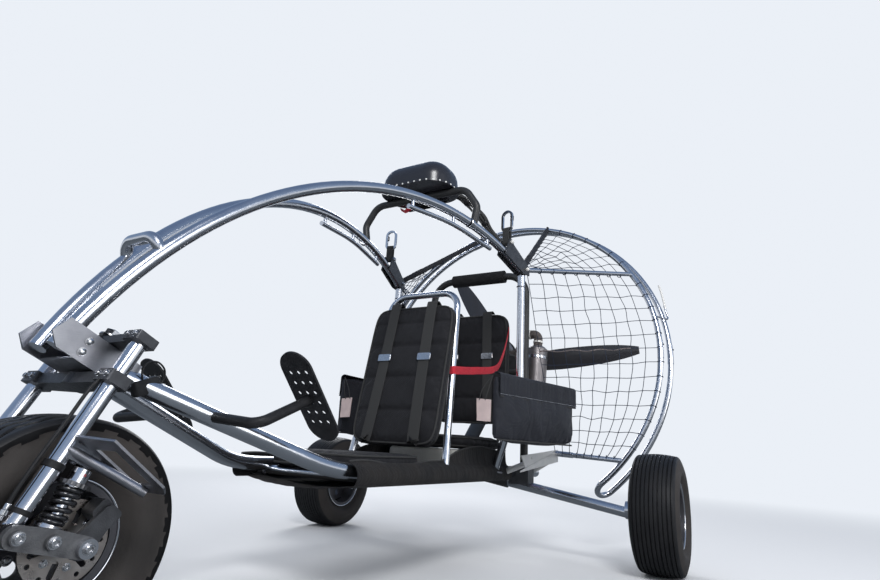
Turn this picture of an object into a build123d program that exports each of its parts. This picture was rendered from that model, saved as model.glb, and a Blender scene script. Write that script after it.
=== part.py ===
from build123d import *
from math import atan2, cos, degrees, radians, sin, sqrt, tan
import os

os.makedirs("parts", exist_ok=True)

# A two-seat paramotor trike, parked on its three wheels. Lengths in millimetres.
# +X is forward, +Y is the occupants' left, +Z is up, and the floor is at z = 0.
# A value called forward is a distance ahead of the rear axle.

SIDES = (("left", 1), ("right", -1))

# Stance
rear_axle_x = -684.4
wheelbase = 1682
track = 1520
running_gap = 0.4
loose_gap = 0.3

# Rear wheels
rear_tyre_diameter = 410
rear_tyre_width = 165
rear_rim_diameter = 206
rear_rim_width = 132

# Front wheel
front_tyre_diameter = 408
front_tyre_width = 200
front_rim_diameter = 178
front_rim_width = 160

# Tyres and rims
tread_crown = 9
rim_wall = 6
rim_flange = 9
rim_disc_wall = 7
rim_holes = 6
rim_hole_diameter = 26
hub_diameter = 62
rear_stub_diameter = 25
front_axle_diameter = 20
disc_radius = 68
disc_wall = 4
disc_offset = 96
disc_slots = 12

# Steering head, in the raked frame: v is forward of the head tube, u is up along it
head_rake = 24.2
head_behind_axle = 28
head_forward = wheelbase - head_behind_axle
head_z = 505
head_tube_diameter = 52
head_tube_length = 56
steerer_diameter = 30
head_plate_wall = 4
head_box_back = -58
head_box_sheet = 58
head_box_front = 114
clamp_gap = 4
upper_clamp_height = 18
lower_clamp_height = 22
clamp_half_width = 14
clamp_boss_wall = 7

# Fork
leg_diameter = 30
leg_spread = 126
foot_diameter = 36
link_wall = 11
link_end_radius = 17
link_reach = 103
link_rise = 25
pin_diameter = 14
shock_behind_leg = 44
shock_length = 124
shock_spring_diameter = 40
shock_rod_diameter = 12
spring_turns = 6
step_length = 140
step_width = 106
step_tube_low = -170
step_slope = 36
step_wall = 4
step_top_z = 368
step_top_forward = head_forward + 68

# Hoops
hoop_diameter = 32
hoop_nose_ahead = 84
hoop_nose_forward = head_forward + hoop_nose_ahead
hoop_nose_z = 521
hoop_crown_forward = 672
hoop_crown_z = 1188
hoop_tail_forward = 240
hoop_tail_z = 1105
hoop_half_width_nose = 31.5
hoop_half_width_tail = 302
bow_diameter = 26
bow_behind_head = 54
chord_diameter = 16
chord_drop = 40
chord_front_forward = 900
chord_back_forward = 450
chord_webs = 3

# Lower frame
rail_diameter = 40
rail_half_width = 200
rail_z = 306
rail_back_forward = -232
rail_knee_forward = 1130
rail_nose_half_width = 41
rail_nose_z = 486
rail_nose_back = 30
cross_tube_diameter = 26
cross_tube_forwards = (1000, 690, 400, 130, -212)
rail_drop = 7
upright_diameter = 30
upright_forward = 222
roll_bar_diameter = 32
roll_bar_half_width = 237
roll_bar_top = 1165
roll_bar_bend = 95
engine_bar_diameter = 26
axle_tube_diameter = 38
axle_slope = 8.8
axle_centre_z = 296
axle_sleeve_diameter = 50
axle_sleeve_out = 170
axle_clamp_length = 66
pad_diameter = 58
pad_length = 264
rack_front = 208
rack_back = -230
rack_hole_middle = -25
rack_hole_z = 368
rack_hole_spacing = 250
rack_hole_diameter = 8.5

# Hang points
hang_boss_diameter = 46
hang_plate_wall = 5
hang_loop_ahead = 112
hang_bolt_diameter = 14
hang_bolt_rise = 82
strap_width = 28
strap_length = 78
strap_wall = 4
carabiner_length = 96
carabiner_width = 52
carabiner_bar = 9

# Propeller cage, in its own leaning frame
cage_lean = 8.9
cage_back = 303
cage_z = 832
cage_tube_diameter = 24
cage_front_radius = 748
cage_rear_radius = 777
cage_ring_gap = 83
cage_opening_angle = 42
strut_diameter = 20

# Propeller and engine, in the cage's frame
propeller_diameter = 1290
propeller_back = 88
propeller_blades = 3
blade_start_angle = 5
propeller_hub_diameter = 110
crank_drop = 172
crankcase_diameter = 176
crankcase_length = 140
crankcase_back = 72
engine_fins = 8
cylinder_width = 124
cylinder_height = 118
fin_wall = 3
pulley_diameter = 168
pulley_small_diameter = 72
pulley_width = 34
silencer_diameter = 92
silencer_length = 250

# Seats, bags and the reserve container
front_seat_width = 320
rear_seat_width = 380
cushion_thickness = 50
reserve_width = 300
reserve_depth = 200
reserve_height = 115
reserve_forward = 560
reserve_z = 1352
bridge_diameter = 28
bag_height = 236
bag_low = 412
front_back_forward = 560
front_back_top = 960
seat_tube_diameter = 25
belly_back_forward = 110
belly_sag = 20
belly_wall = 4
tank_height = 74
tank_forward = 262
pedal_y = 250
pedal_share = 0.63
belt_wall = 5
caliper_arm_wall = 8
caliper_inner = 10
disc_gap = 5

rear_axle_z = rear_tyre_diameter / 2
front_axle_z = front_tyre_diameter / 2
rake_sin = sin(radians(head_rake))
rake_cos = cos(radians(head_rake))
head_plane = Plane(
    origin=(rear_axle_x + head_forward, 0, head_z),
    x_dir=(rake_cos, 0, rake_sin),
    z_dir=(-rake_sin, 0, rake_cos),
)
cage_plane = Plane(
    origin=(rear_axle_x - cage_back, 0, cage_z),
    x_dir=(0, 1, 0),
    z_dir=(cos(radians(cage_lean)), 0, sin(radians(cage_lean))),
)


def at(forward, y, z):
    """A point given by its distance ahead of the rear axle."""
    return (rear_axle_x + forward, y, z)


def across(forward, y, z):
    """A plane across the vehicle: its z runs along +Y, its x forward and its y down."""
    return Plane(origin=at(forward, y, z), x_dir=(1, 0, 0), z_dir=(0, 1, 0))


def bar(start, end, diameter):
    """A straight round bar between two points."""
    reach = Vector(*end) - Vector(*start)
    with BuildPart(mode=Mode.PRIVATE) as piece:
        with BuildSketch(Plane(origin=start, z_dir=reach)):
            Circle(diameter / 2)
        extrude(amount=reach.length)
    return piece.part


def bent_tube(points, radius, diameter):
    """A round tube along straight runs with one bend radius at each corner."""
    with BuildPart(mode=Mode.PRIVATE) as piece:
        with BuildLine() as route:
            FilletPolyline(*points, radius=radius)
        with BuildSketch(Plane(origin=route.line @ 0, z_dir=route.line % 0)):
            Circle(diameter / 2)
        sweep(path=route.line)
    return piece.part


def save_together(name, pieces):
    """Like pieces on one body, kept as one file of separate solids."""
    with BuildPart() as group:
        for piece in pieces:
            add(piece)
    group.part.label = name
    export_step(group.part, f"parts/{name}.step")


def tyre(diameter, width, rim_diameter, rim_width):
    """A low-pressure tyre about Z: crowned tread, bulging walls, beads on the rim."""
    outer = diameter / 2
    bead = rim_diameter / 2
    half_bead = rim_width / 2 - rim_wall
    shoulder = outer - tread_crown
    lip = bead + rim_flange + 1
    middle = (lip + shoulder) / 2
    tread = width * 0.42
    with BuildPart(mode=Mode.PRIVATE) as ring:
        with BuildSketch(Plane.XZ):
            with BuildLine():
                Line((bead, -half_bead), (bead, half_bead))
                Line((bead, half_bead), (lip, half_bead))
                ThreePointArc((lip, half_bead), (middle, width / 2), (shoulder, tread))
                ThreePointArc((shoulder, tread), (outer, 0), (shoulder, -tread))
                ThreePointArc((shoulder, -tread), (middle, -width / 2), (lip, -half_bead))
                Line((lip, -half_bead), (bead, -half_bead))
            make_face()
        revolve(axis=Axis.Z)
    return ring.part


def rim(rim_diameter, rim_width, bore):
    """A steel rim about Z: barrel, two flanges, a pierced disc and a hub."""
    seat = rim_diameter / 2
    half = rim_width / 2
    lip = seat + rim_flange
    with BuildPart(mode=Mode.PRIVATE) as wheel:
        with BuildSketch(Plane.XZ):
            with BuildLine():
                Polyline(
                    (seat - rim_wall, -half), (lip, -half), (lip, -half + rim_wall),
                    (seat, -half + rim_wall), (seat, half - rim_wall), (lip, half - rim_wall),
                    (lip, half), (seat - rim_wall, half), (seat - rim_wall, -half),
                )
            make_face()
        revolve(axis=Axis.Z)
        with BuildSketch(Plane.XY.offset(-rim_disc_wall / 2)):
            Circle(seat - rim_wall)
            with PolarLocations((seat - rim_wall + hub_diameter / 2) / 2, rim_holes):
                Circle(rim_hole_diameter / 2, mode=Mode.SUBTRACT)
        extrude(amount=rim_disc_wall)
        Cylinder(hub_diameter / 2, rim_width * 0.72)
        Cylinder(bore / 2, rim_width, mode=Mode.SUBTRACT)
    return wheel.part


# Wheels
for side, sign in SIDES:
    place = across(0, sign * track / 2, rear_axle_z)
    with BuildPart() as tyre_rear:
        add(place * tyre(rear_tyre_diameter, rear_tyre_width, rear_rim_diameter, rear_rim_width))
    tyre_rear.part.label = f"tyre_rear_{side}"
    export_step(tyre_rear.part, f"parts/tyre_rear_{side}.step")
    with BuildPart() as rim_rear:
        add(place * rim(rear_rim_diameter, rear_rim_width, rear_stub_diameter + 2 * running_gap))
    rim_rear.part.label = f"rim_rear_{side}"
    export_step(rim_rear.part, f"parts/rim_rear_{side}.step")

front_place = across(wheelbase, 0, front_axle_z)
with BuildPart() as tyre_front:
    add(front_place * tyre(front_tyre_diameter, front_tyre_width, front_rim_diameter, front_rim_width))
tyre_front.part.label = "tyre_front"
export_step(tyre_front.part, "parts/tyre_front.step")

with BuildPart() as rim_front:
    add(front_place * rim(front_rim_diameter, front_rim_width, front_axle_diameter + 2 * running_gap))
rim_front.part.label = "rim_front"
export_step(rim_front.part, "parts/rim_front.step")

# Brake disc on a carrier at the left end of the front hub
hub_end = front_rim_width * 0.36
with BuildPart() as brake_disc:
    with BuildSketch(across(wheelbase, disc_offset, front_axle_z)):
        Circle(disc_radius)
        with PolarLocations(disc_radius * 0.84, disc_slots):
            Circle(4, mode=Mode.SUBTRACT)
        with PolarLocations(disc_radius * 0.6, disc_slots // 2, start_angle=15):
            SlotCenterToCenter(18, 10, mode=Mode.SUBTRACT)
    extrude(amount=disc_wall)
    with BuildSketch(across(wheelbase, hub_end, front_axle_z)):
        Circle(hub_diameter / 2)
    extrude(amount=disc_offset - hub_end)
    with BuildSketch(across(wheelbase, hub_end, front_axle_z)):
        Circle(front_axle_diameter / 2 + running_gap)
    extrude(amount=disc_offset, mode=Mode.SUBTRACT)
brake_disc.part.label = "brake_disc"
export_step(brake_disc.part, "parts/brake_disc.step")

# Hoops: each is bent in one upright plane that spreads from the nose to the tail
nose_x = rear_axle_x + hoop_nose_forward
hoop_run = hoop_nose_forward - hoop_tail_forward
hoop_heading = atan2(hoop_half_width_tail - hoop_half_width_nose, hoop_run)
hoop_length = hoop_run / cos(hoop_heading)
crown_run = (hoop_nose_forward - hoop_crown_forward) / cos(hoop_heading)


def hoop_plane(sign):
    """The upright plane of one hoop: its x runs back from the nose and its y is up."""
    return Plane(
        origin=(nose_x, sign * hoop_half_width_nose, 0),
        x_dir=(-cos(hoop_heading), sign * sin(hoop_heading), 0),
        z_dir=(sign * sin(hoop_heading), cos(hoop_heading), 0),
    )


def crown_radius(rise, run):
    """Radius of an arc that is level at the crown and falls by rise over run."""
    return (run**2 + rise**2) / (2 * rise)


front_radius = crown_radius(hoop_crown_z - hoop_nose_z, crown_run)
back_radius = crown_radius(hoop_crown_z - hoop_tail_z, hoop_length - crown_run)
front_angle = degrees(atan2(crown_run, front_radius - hoop_crown_z + hoop_nose_z))
back_angle = degrees(atan2(hoop_length - crown_run, back_radius - hoop_crown_z + hoop_tail_z))


def hoop_point(forward, sign, drop=0):
    """A point on a hoop's centre line, lowered by drop."""
    run = (hoop_nose_forward - forward) / cos(hoop_heading)
    radius = front_radius if run < crown_run else back_radius
    z = hoop_crown_z - radius + sqrt(radius**2 - (run - crown_run) ** 2)
    return at(forward, sign * (hoop_half_width_nose + run * sin(hoop_heading)), z - drop)


hoops = {}
for side, sign in SIDES:
    with BuildPart() as hoop:
        with BuildLine(hoop_plane(sign)) as hoop_line:
            CenterArc((crown_run, hoop_crown_z - front_radius), front_radius,
                      90 + front_angle, -front_angle)
            CenterArc((crown_run, hoop_crown_z - back_radius), back_radius, 90, -back_angle)
        with BuildSketch(Plane(origin=hoop_line.line @ 0, z_dir=hoop_line.line % 0)):
            Circle(hoop_diameter / 2)
        sweep(path=hoop_line.line)
    hoop.part.label = f"hoop_{side}"
    export_step(hoop.part, f"parts/hoop_{side}.step")
    hoops[side] = hoop.part

# Bow between the hoops, just above them
with BuildPart() as hoop_bow:
    foot_l = hoop_point(head_forward - bow_behind_head, 1)
    foot_r = hoop_point(head_forward - bow_behind_head, -1)
    lift = Vector(14, 0, 36)
    add(bent_tube(
        (foot_l, Vector(*foot_l) + lift, Vector(*foot_r) + lift, foot_r),
        30, bow_diameter,
    ))
    add(hoops["left"], mode=Mode.SUBTRACT)
    add(hoops["right"], mode=Mode.SUBTRACT)

# Chord rail and webs under the back of each hoop
chords = []
for side, sign in SIDES:
    with BuildPart() as chord:
        front = hoop_point(chord_front_forward, sign, chord_drop)
        middle = hoop_point((chord_front_forward + chord_back_forward) / 2, sign, chord_drop)
        back = hoop_point(chord_back_forward, sign, chord_drop)
        add(bent_tube((front, middle, back), 900, chord_diameter))
        for web in range(chord_webs):
            share = (web + 0.1) / (chord_webs - 0.8)
            forward = chord_front_forward + share * (chord_back_forward - chord_front_forward)
            add(bar(hoop_point(forward, sign, chord_drop), hoop_point(forward, sign, 8), 11))
        add(hoops[side], mode=Mode.SUBTRACT)
    chords.append(chord.part)

# Lower rails from the steering head back under the seats and the engine
def rail_spot(share, sign):
    """A point of a rail's front run, its share of the way from the knee to the nose."""
    knee = Vector(*at(rail_knee_forward, sign * rail_half_width * 0.92, rail_z + 10))
    nose = Vector(*at(head_forward - rail_nose_back, sign * rail_nose_half_width, rail_nose_z))
    return tuple(knee + (nose - knee) * share)


rails = {}
for side, sign in SIDES:
    with BuildPart() as rail:
        add(bent_tube(
            (
                rail_spot(1, sign), rail_spot(0, sign),
                at(rail_back_forward, sign * rail_half_width, rail_z),
            ),
            420, rail_diameter,
        ))
    rail.part.label = f"rail_{side}"
    export_step(rail.part, f"parts/rail_{side}.step")
    rails[side] = rail.part

# Steering head: sheet plates round the head tube and the noses of the hoops and rails
box_half_width = hoop_half_width_nose + hoop_diameter / 2 + 8
half_head = head_tube_length / 2
sheet_length = head_box_sheet - head_box_back
head_side = Plane(origin=head_plane.origin, x_dir=head_plane.x_dir, z_dir=(0, -1, 0))
with BuildPart() as steering_head:
    with BuildSketch(head_plane.offset(-half_head)):
        Circle(head_tube_diameter / 2)
    extrude(amount=head_tube_length)
    for sign in (1, -1):
        with BuildSketch(head_side.offset(sign * (box_half_width + head_plate_wall / 2))):
            with BuildLine():
                Polyline(
                    (head_box_back, -half_head), (head_box_front - 22, -half_head),
                    (head_box_front, -half_head + 20), (head_box_front - 12, half_head),
                    (head_box_back, half_head), (head_box_back, -half_head),
                )
            make_face()
        extrude(amount=head_plate_wall / 2, both=True)
    for low in (-half_head, half_head - head_plate_wall):
        with BuildSketch(head_plane.offset(low)):
            with Locations(((head_box_back + head_box_sheet) / 2, 0)):
                Rectangle(sheet_length, 2 * box_half_width)
        extrude(amount=head_plate_wall)
    with BuildSketch(head_plane.offset(-half_head - 1)):
        Circle(steerer_diameter / 2 + running_gap)
    extrude(amount=head_tube_length + 2, mode=Mode.SUBTRACT)
    add(hoops["left"], mode=Mode.SUBTRACT)
    add(hoops["right"], mode=Mode.SUBTRACT)
    add(rails["left"], mode=Mode.SUBTRACT)
    add(rails["right"], mode=Mode.SUBTRACT)
steering_head.part.label = "steering_head"
export_step(steering_head.part, "parts/steering_head.step")

# Gusset plate in the narrow gap between the hoops above the nose
gusset_low = hoop_point(hoop_nose_forward - 12, 1)
gusset_high = hoop_point(hoop_nose_forward - 78, 1)
gusset_up = Vector(gusset_high[0] - gusset_low[0], 0, gusset_high[2] - gusset_low[2])
with BuildPart() as nose_gusset:
    with BuildSketch(Plane(origin=(gusset_low[0], 0, gusset_low[2]), x_dir=(0, 1, 0),
                           z_dir=Vector(0, 1, 0).cross(gusset_up))):
        with BuildLine():
            Polyline(
                (-gusset_low[1], 0), (gusset_low[1], 0), (gusset_high[1], gusset_up.length),
                (-gusset_high[1], gusset_up.length), (-gusset_low[1], 0),
            )
        make_face()
    extrude(amount=head_plate_wall / 2, both=True)
    add(hoops["left"], mode=Mode.SUBTRACT)
    add(hoops["right"], mode=Mode.SUBTRACT)
save_together("hoop_braces", (hoop_bow.part, nose_gusset.part, *chords))

# Cross tubes between the rails: under the front seat, between the seats, behind the tank
seat_base_z = rail_z - rail_drop + cross_tube_diameter / 2 + loose_gap
cross_z = rail_z - rail_drop
with BuildPart() as cross_tubes:
    for forward in cross_tube_forwards:
        add(bar(
            at(forward, rail_half_width, cross_z), at(forward, -rail_half_width, cross_z),
            cross_tube_diameter,
        ))
    add(rails["left"], mode=Mode.SUBTRACT)
    add(rails["right"], mode=Mode.SUBTRACT)
cross_tubes.part.label = "cross_tubes"
export_step(cross_tubes.part, "parts/cross_tubes.step")

# Uprights from the rails to the tails of the hoops
uprights = {}
for side, sign in SIDES:
    with BuildPart() as upright:
        add(bent_tube(
            (
                at(upright_forward, sign * hoop_half_width_tail, hoop_tail_z - 22),
                at(upright_forward, sign * hoop_half_width_tail, 610),
                at(upright_forward, sign * (rail_half_width + 4), rail_z + 6),
            ),
            160, upright_diameter,
        ))
        add(hoops[side], mode=Mode.SUBTRACT)
        add(rails[side], mode=Mode.SUBTRACT)
    uprights[side] = upright.part
save_together("uprights", uprights.values())

# Rear axle: two legs that slope down and out to the hubs, in a sleeve at the middle
slope = radians(axle_slope)
hub_inner = track / 2 - rear_tyre_width / 2 - 22
leg_end_z = axle_centre_z - hub_inner * tan(slope)
axle_legs = {}
for side, sign in SIDES:
    with BuildPart() as axle_leg:
        add(bar(
            at(0, sign * 8, axle_centre_z - 8 * tan(slope)),
            at(0, sign * hub_inner, leg_end_z),
            axle_tube_diameter,
        ))
        with BuildSketch(across(0, sign * (hub_inner - 16), rear_axle_z)):
            Circle(31)
        extrude(amount=sign * 26)
        with BuildSketch(across(0, sign * hub_inner, rear_axle_z)):
            Circle(rear_stub_diameter / 2)
        extrude(amount=sign * (track / 2 - hub_inner + rear_rim_width * 0.36 + 6))
    axle_legs[side] = axle_leg.part
save_together("axle_legs", axle_legs.values())

# Sleeve that holds both axle legs at the middle
with BuildPart() as axle_sleeve:
    for sign in (1, -1):
        inner = at(0, 0, axle_centre_z)
        outer = at(0, sign * axle_sleeve_out, axle_centre_z - axle_sleeve_out * tan(slope))
        add(bar(inner, outer, axle_sleeve_diameter))
    for leg in axle_legs.values():
        add(leg, mode=Mode.SUBTRACT)
axle_sleeve.part.label = "axle_sleeve"
export_step(axle_sleeve.part, "parts/axle_sleeve.step")

# Roll bar behind the rear seat, standing on the axle
roll_foot_z = axle_centre_z - roll_bar_half_width * tan(slope)
with BuildPart() as roll_bar:
    add(bent_tube(
        (
            at(0, roll_bar_half_width, roll_foot_z),
            at(0, roll_bar_half_width, roll_bar_top),
            at(0, -roll_bar_half_width, roll_bar_top),
            at(0, -roll_bar_half_width, roll_foot_z),
        ),
        roll_bar_bend, roll_bar_diameter,
    ))
    for leg in axle_legs.values():
        add(leg, mode=Mode.SUBTRACT)

with BuildPart() as roll_bar_pad:
    with BuildSketch(across(0, -pad_length / 2, roll_bar_top)):
        Circle(pad_diameter / 2)
        Circle(roll_bar_diameter / 2, mode=Mode.SUBTRACT)
    extrude(amount=pad_length)
roll_bar_pad.part.label = "roll_bar_pad"
export_step(roll_bar_pad.part, "parts/roll_bar_pad.step")

# Blocks that clamp rail, roll bar and axle leg together
clamp_low = rail_z - rail_diameter / 2 - 24
clamp_high = rail_z + rail_diameter / 2 + 6
axle_clamps = []
for side, sign in SIDES:
    with BuildPart() as axle_clamp:
        with Locations(at(0, sign * (rail_half_width + 26), (clamp_low + clamp_high) / 2)):
            Box(axle_clamp_length, 84, clamp_high - clamp_low)
        fillet(axle_clamp.edges().filter_by(Axis.Y), 8)
        for held in (rails[side], roll_bar.part, axle_legs[side]):
            add(held, mode=Mode.SUBTRACT)
    axle_clamps.append(axle_clamp.part)
save_together("axle_clamps", axle_clamps)

# Side racks: a tapered sheet outboard of each rail on two outriggers
rack_y = hoop_half_width_tail + 4
side_racks = []
for side, sign in SIDES:
    with BuildPart() as side_rack:
        with BuildSketch(Plane(origin=at(0, sign * rack_y, 0), x_dir=(1, 0, 0), z_dir=(0, -1, 0))):
            with BuildLine():
                Polyline(
                    (rack_front, 376), (rack_back, 408), (rack_back, 356),
                    (rack_front - 46, 330), (rack_front, 376),
                )
            make_face()
            with Locations((rack_hole_middle, rack_hole_z)):
                with GridLocations(rack_hole_spacing, 0, 2, 1):
                    Circle(rack_hole_diameter / 2, mode=Mode.SUBTRACT)
        extrude(amount=head_plate_wall / 2, both=True)
        for forward, z in ((rack_front - 70, 350), (rack_back + 50, 372)):
            add(bar(at(forward, sign * rack_y, z), at(forward, sign * rail_half_width, rail_z), 22))
        add(rails[side], mode=Mode.SUBTRACT)
    side_racks.append(side_rack.part)
save_together("side_racks", side_racks)

# Hang brackets: plates either side of each hoop's tail, with a boss on the upright
hang_brackets = []
hang_straps = []
carabiners = []
for side, sign in SIDES:
    tail = hoop_plane(sign)
    upright_run = (hoop_nose_forward - upright_forward) / cos(hoop_heading)
    loop_run = upright_run - hang_loop_ahead / cos(hoop_heading)
    half = hoop_diameter / 2
    with BuildPart() as hang_bracket:
        for low in (half + 0.2, -half - 0.2 - hang_plate_wall):
            with BuildSketch(tail.offset(low)):
                with BuildLine():
                    Polyline(
                        (upright_run + 23, hoop_tail_z - 20), (upright_run + 23, hoop_tail_z + 14),
                        (loop_run + 16, hoop_tail_z + hang_bolt_rise - 4),
                        (loop_run + 6, hoop_tail_z + hang_bolt_rise + 13),
                        (loop_run - 12, hoop_tail_z + hang_bolt_rise + 13),
                        (loop_run - 22, hoop_tail_z + hang_bolt_rise - 4),
                        (loop_run - 40, hoop_tail_z + 24), (upright_run - 24, hoop_tail_z - 20),
                        (upright_run + 23, hoop_tail_z - 20),
                    )
                make_face()
            extrude(amount=hang_plate_wall)
        for run, z, width in (
            (upright_run, hoop_tail_z + 2, hang_boss_diameter),
            (loop_run - 4, hoop_tail_z + hang_bolt_rise, hang_bolt_diameter),
        ):
            with BuildSketch(tail.offset(-half - 0.2)):
                with Locations((run, z)):
                    Circle(width / 2)
            extrude(amount=2 * half + 0.4)
        add(hoops[side], mode=Mode.SUBTRACT)
        add(uprights[side], mode=Mode.SUBTRACT)
    hang_brackets.append(hang_bracket.part)

    # Webbing loop on the bracket's bolt, and the carabiner through it
    bolt_z = hoop_tail_z + hang_bolt_rise
    loop_plane = tail.offset(-strap_width / 2)
    with BuildPart() as hang_strap:
        with BuildSketch(loop_plane):
            with Locations((loop_run - 4, bolt_z + strap_length / 2 - hang_bolt_diameter / 2 - strap_wall)):
                SlotOverall(strap_length, hang_bolt_diameter + 2 * strap_wall, rotation=90)
                SlotOverall(strap_length - 2 * strap_wall, hang_bolt_diameter, rotation=90,
                            mode=Mode.SUBTRACT)
        extrude(amount=strap_width)
    hang_straps.append(hang_strap.part)

    strap_top = bolt_z + strap_length - hang_bolt_diameter / 2 - 2 * strap_wall
    bend_inner = carabiner_width / 2 - carabiner_bar
    bend_rise = carabiner_width / 2 - sqrt(bend_inner**2 - (strap_width / 2) ** 2)
    slot_end = hang_bolt_diameter / 2
    slot_rise = slot_end - sqrt(slot_end**2 - (carabiner_bar / 2) ** 2)
    link_low = strap_top - bend_rise - slot_rise - loose_gap
    ring_centre = tail.from_local_coords((loop_run - 4, link_low + carabiner_length / 2, 0))
    with BuildPart() as carabiner:
        with BuildSketch(Plane(origin=ring_centre, x_dir=tail.z_dir, z_dir=tail.x_dir * -1)):
            SlotOverall(carabiner_length, carabiner_width, rotation=90)
            SlotOverall(carabiner_length - 2 * carabiner_bar, carabiner_width - 2 * carabiner_bar,
                        rotation=90, mode=Mode.SUBTRACT)
        extrude(amount=carabiner_bar / 2, both=True)
    carabiners.append(carabiner.part)
save_together("hang_brackets", hang_brackets)
save_together("hang_straps", hang_straps)
save_together("carabiners", carabiners)


# Cage rings: two arcs joined by bends at the bottom, where the cage is open
def ring_spot(angle, radius, back=0):
    """A point of the cage, its angle measured from the left towards the top."""
    turn = radians(angle)
    return cage_plane.from_local_coords((radius * cos(turn), radius * sin(turn), -back))


ring_start = cage_opening_angle - 90
ring_turn = radians(ring_start)
ring_section = Plane(
    origin=(0, 0, 0), x_dir=(cos(ring_turn), sin(ring_turn), 0), z_dir=(sin(ring_turn), -cos(ring_turn), 0),
)
cage_rings = {}
for place, radius, back in (("front", cage_front_radius, 0), ("rear", cage_rear_radius, cage_ring_gap)):
    with BuildPart() as ring_arc:
        with BuildSketch(ring_section):
            with Locations((radius, -back)):
                Circle(cage_tube_diameter / 2)
        revolve(axis=Axis.Z, revolution_arc=360 - 2 * cage_opening_angle)
        if place == "rear":
            for end_sign in (1, -1):
                end_turn = radians(ring_start if end_sign > 0 else 180 - ring_start)
                out = Vector(cos(end_turn), sin(end_turn), 0)
                middle = out * ((cage_front_radius + cage_rear_radius) / 2) + Vector(0, 0, -cage_ring_gap / 2)
                swing = out * cage_ring_gap + Vector(0, 0, cage_rear_radius - cage_front_radius)
                with BuildSketch(Plane(origin=(0, 0, 0), x_dir=out, z_dir=(out.Y, -out.X, 0))):
                    with Locations((cage_front_radius, 0)):
                        Circle(cage_tube_diameter / 2)
                revolve(axis=Axis(middle, swing), revolution_arc=180 * end_sign)
    with BuildPart() as cage_ring:
        add(cage_plane * ring_arc.part)
    cage_ring.part.label = f"cage_{place}_ring"
    export_step(cage_ring.part, f"parts/cage_{place}_ring.step")
    cage_rings[place] = cage_ring.part

# Struts from the frame to the cage ring, and the line hooks on its sides
junction = at(upright_forward - 18, hoop_half_width_tail + 16, hoop_tail_z + 6)
strut_table = (
    # start on the left, angle on the ring, diameter
    (junction, 33, strut_diameter),
    (at(rack_back + 36, rack_y + 2, 392), -38, strut_diameter),
    (at(upright_forward - 16, hoop_half_width_tail, hoop_tail_z + 20), 75, strut_diameter + 4),
)
struts = []
for start, angle, diameter in strut_table:
    for sign in (1, -1):
        end = ring_spot(angle if sign > 0 else 180 - angle, cage_front_radius)
        with BuildPart() as cage_strut:
            add(bar((start[0], sign * start[1], start[2]), tuple(end), diameter))
            for held in (*cage_rings.values(), *hang_brackets, *side_racks, *uprights.values()):
                add(held, mode=Mode.SUBTRACT)
        struts.append(cage_strut.part)
with BuildPart() as cage_hooks:
    for sign in (1, -1):
        angle = 14 if sign > 0 else 180 - 14
        inner = ring_spot(angle, cage_front_radius + 9, 2)
        outer = ring_spot(angle, cage_rear_radius + 22, cage_ring_gap * 0.9)
        tip = ring_spot(angle + sign * 5, cage_rear_radius + 26, cage_ring_gap * 0.9)
        add(bent_tube((tuple(inner), tuple(outer), tuple(tip)), 14, 8))
    for ring in cage_rings.values():
        add(ring, mode=Mode.SUBTRACT)
save_together("cage_struts", (*struts[:4], cage_hooks.part))
save_together("cage_top_struts", struts[4:])

# Bridge over the hoops that carries the reserve container
foot = hoop_point(reserve_forward, 1)
bridge_z = reserve_z - bridge_diameter / 2 - loose_gap
with BuildPart() as reserve_bridge:
    add(bent_tube(
        (
            foot,
            at(reserve_forward, foot[1] + 14, foot[2] + 74),
            at(reserve_forward, 205, bridge_z),
            at(reserve_forward, -205, bridge_z),
            at(reserve_forward, -foot[1] - 14, foot[2] + 74),
            at(reserve_forward, -foot[1], foot[2]),
        ),
        (40, 60, 60, 40), bridge_diameter,
    ))
    for hoop_part in hoops.values():
        add(hoop_part, mode=Mode.SUBTRACT)
reserve_bridge.part.label = "reserve_bridge"
export_step(reserve_bridge.part, "parts/reserve_bridge.step")

with BuildPart() as reserve_container:
    with BuildSketch(Plane.XY.offset(reserve_z)):
        with Locations((rear_axle_x + reserve_forward, 0)):
            RectangleRounded(reserve_depth + 12, reserve_width + 12, 92)
    extrude(amount=7)
    with BuildSketch(Plane.XY.offset(reserve_z + 7)):
        with Locations((rear_axle_x + reserve_forward, 0)):
            RectangleRounded(reserve_depth, reserve_width, 86)
    extrude(amount=reserve_height - 7)
    fillet(reserve_container.edges().group_by(Axis.Z)[-1], 82)
reserve_container.part.label = "reserve_container"
export_step(reserve_container.part, "parts/reserve_container.step")

# Seats: a cushion and a back for each, the front one on its own back hoop
with BuildPart() as front_seat_hoop:
    seat_foot = at(front_back_forward + 40, rail_half_width - 2, rail_z)
    seat_top = at(front_back_forward - 92, front_seat_width / 2 - 14, front_back_top)
    add(bent_tube(
        (
            seat_foot, seat_top,
            (seat_top[0], -seat_top[1], seat_top[2]), (seat_foot[0], -seat_foot[1], seat_foot[2]),
        ),
        70, seat_tube_diameter,
    ))
    for held in rails.values():
        add(held, mode=Mode.SUBTRACT)
front_seat_hoop.part.label = "front_seat_hoop"
export_step(front_seat_hoop.part, "parts/front_seat_hoop.step")

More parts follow.
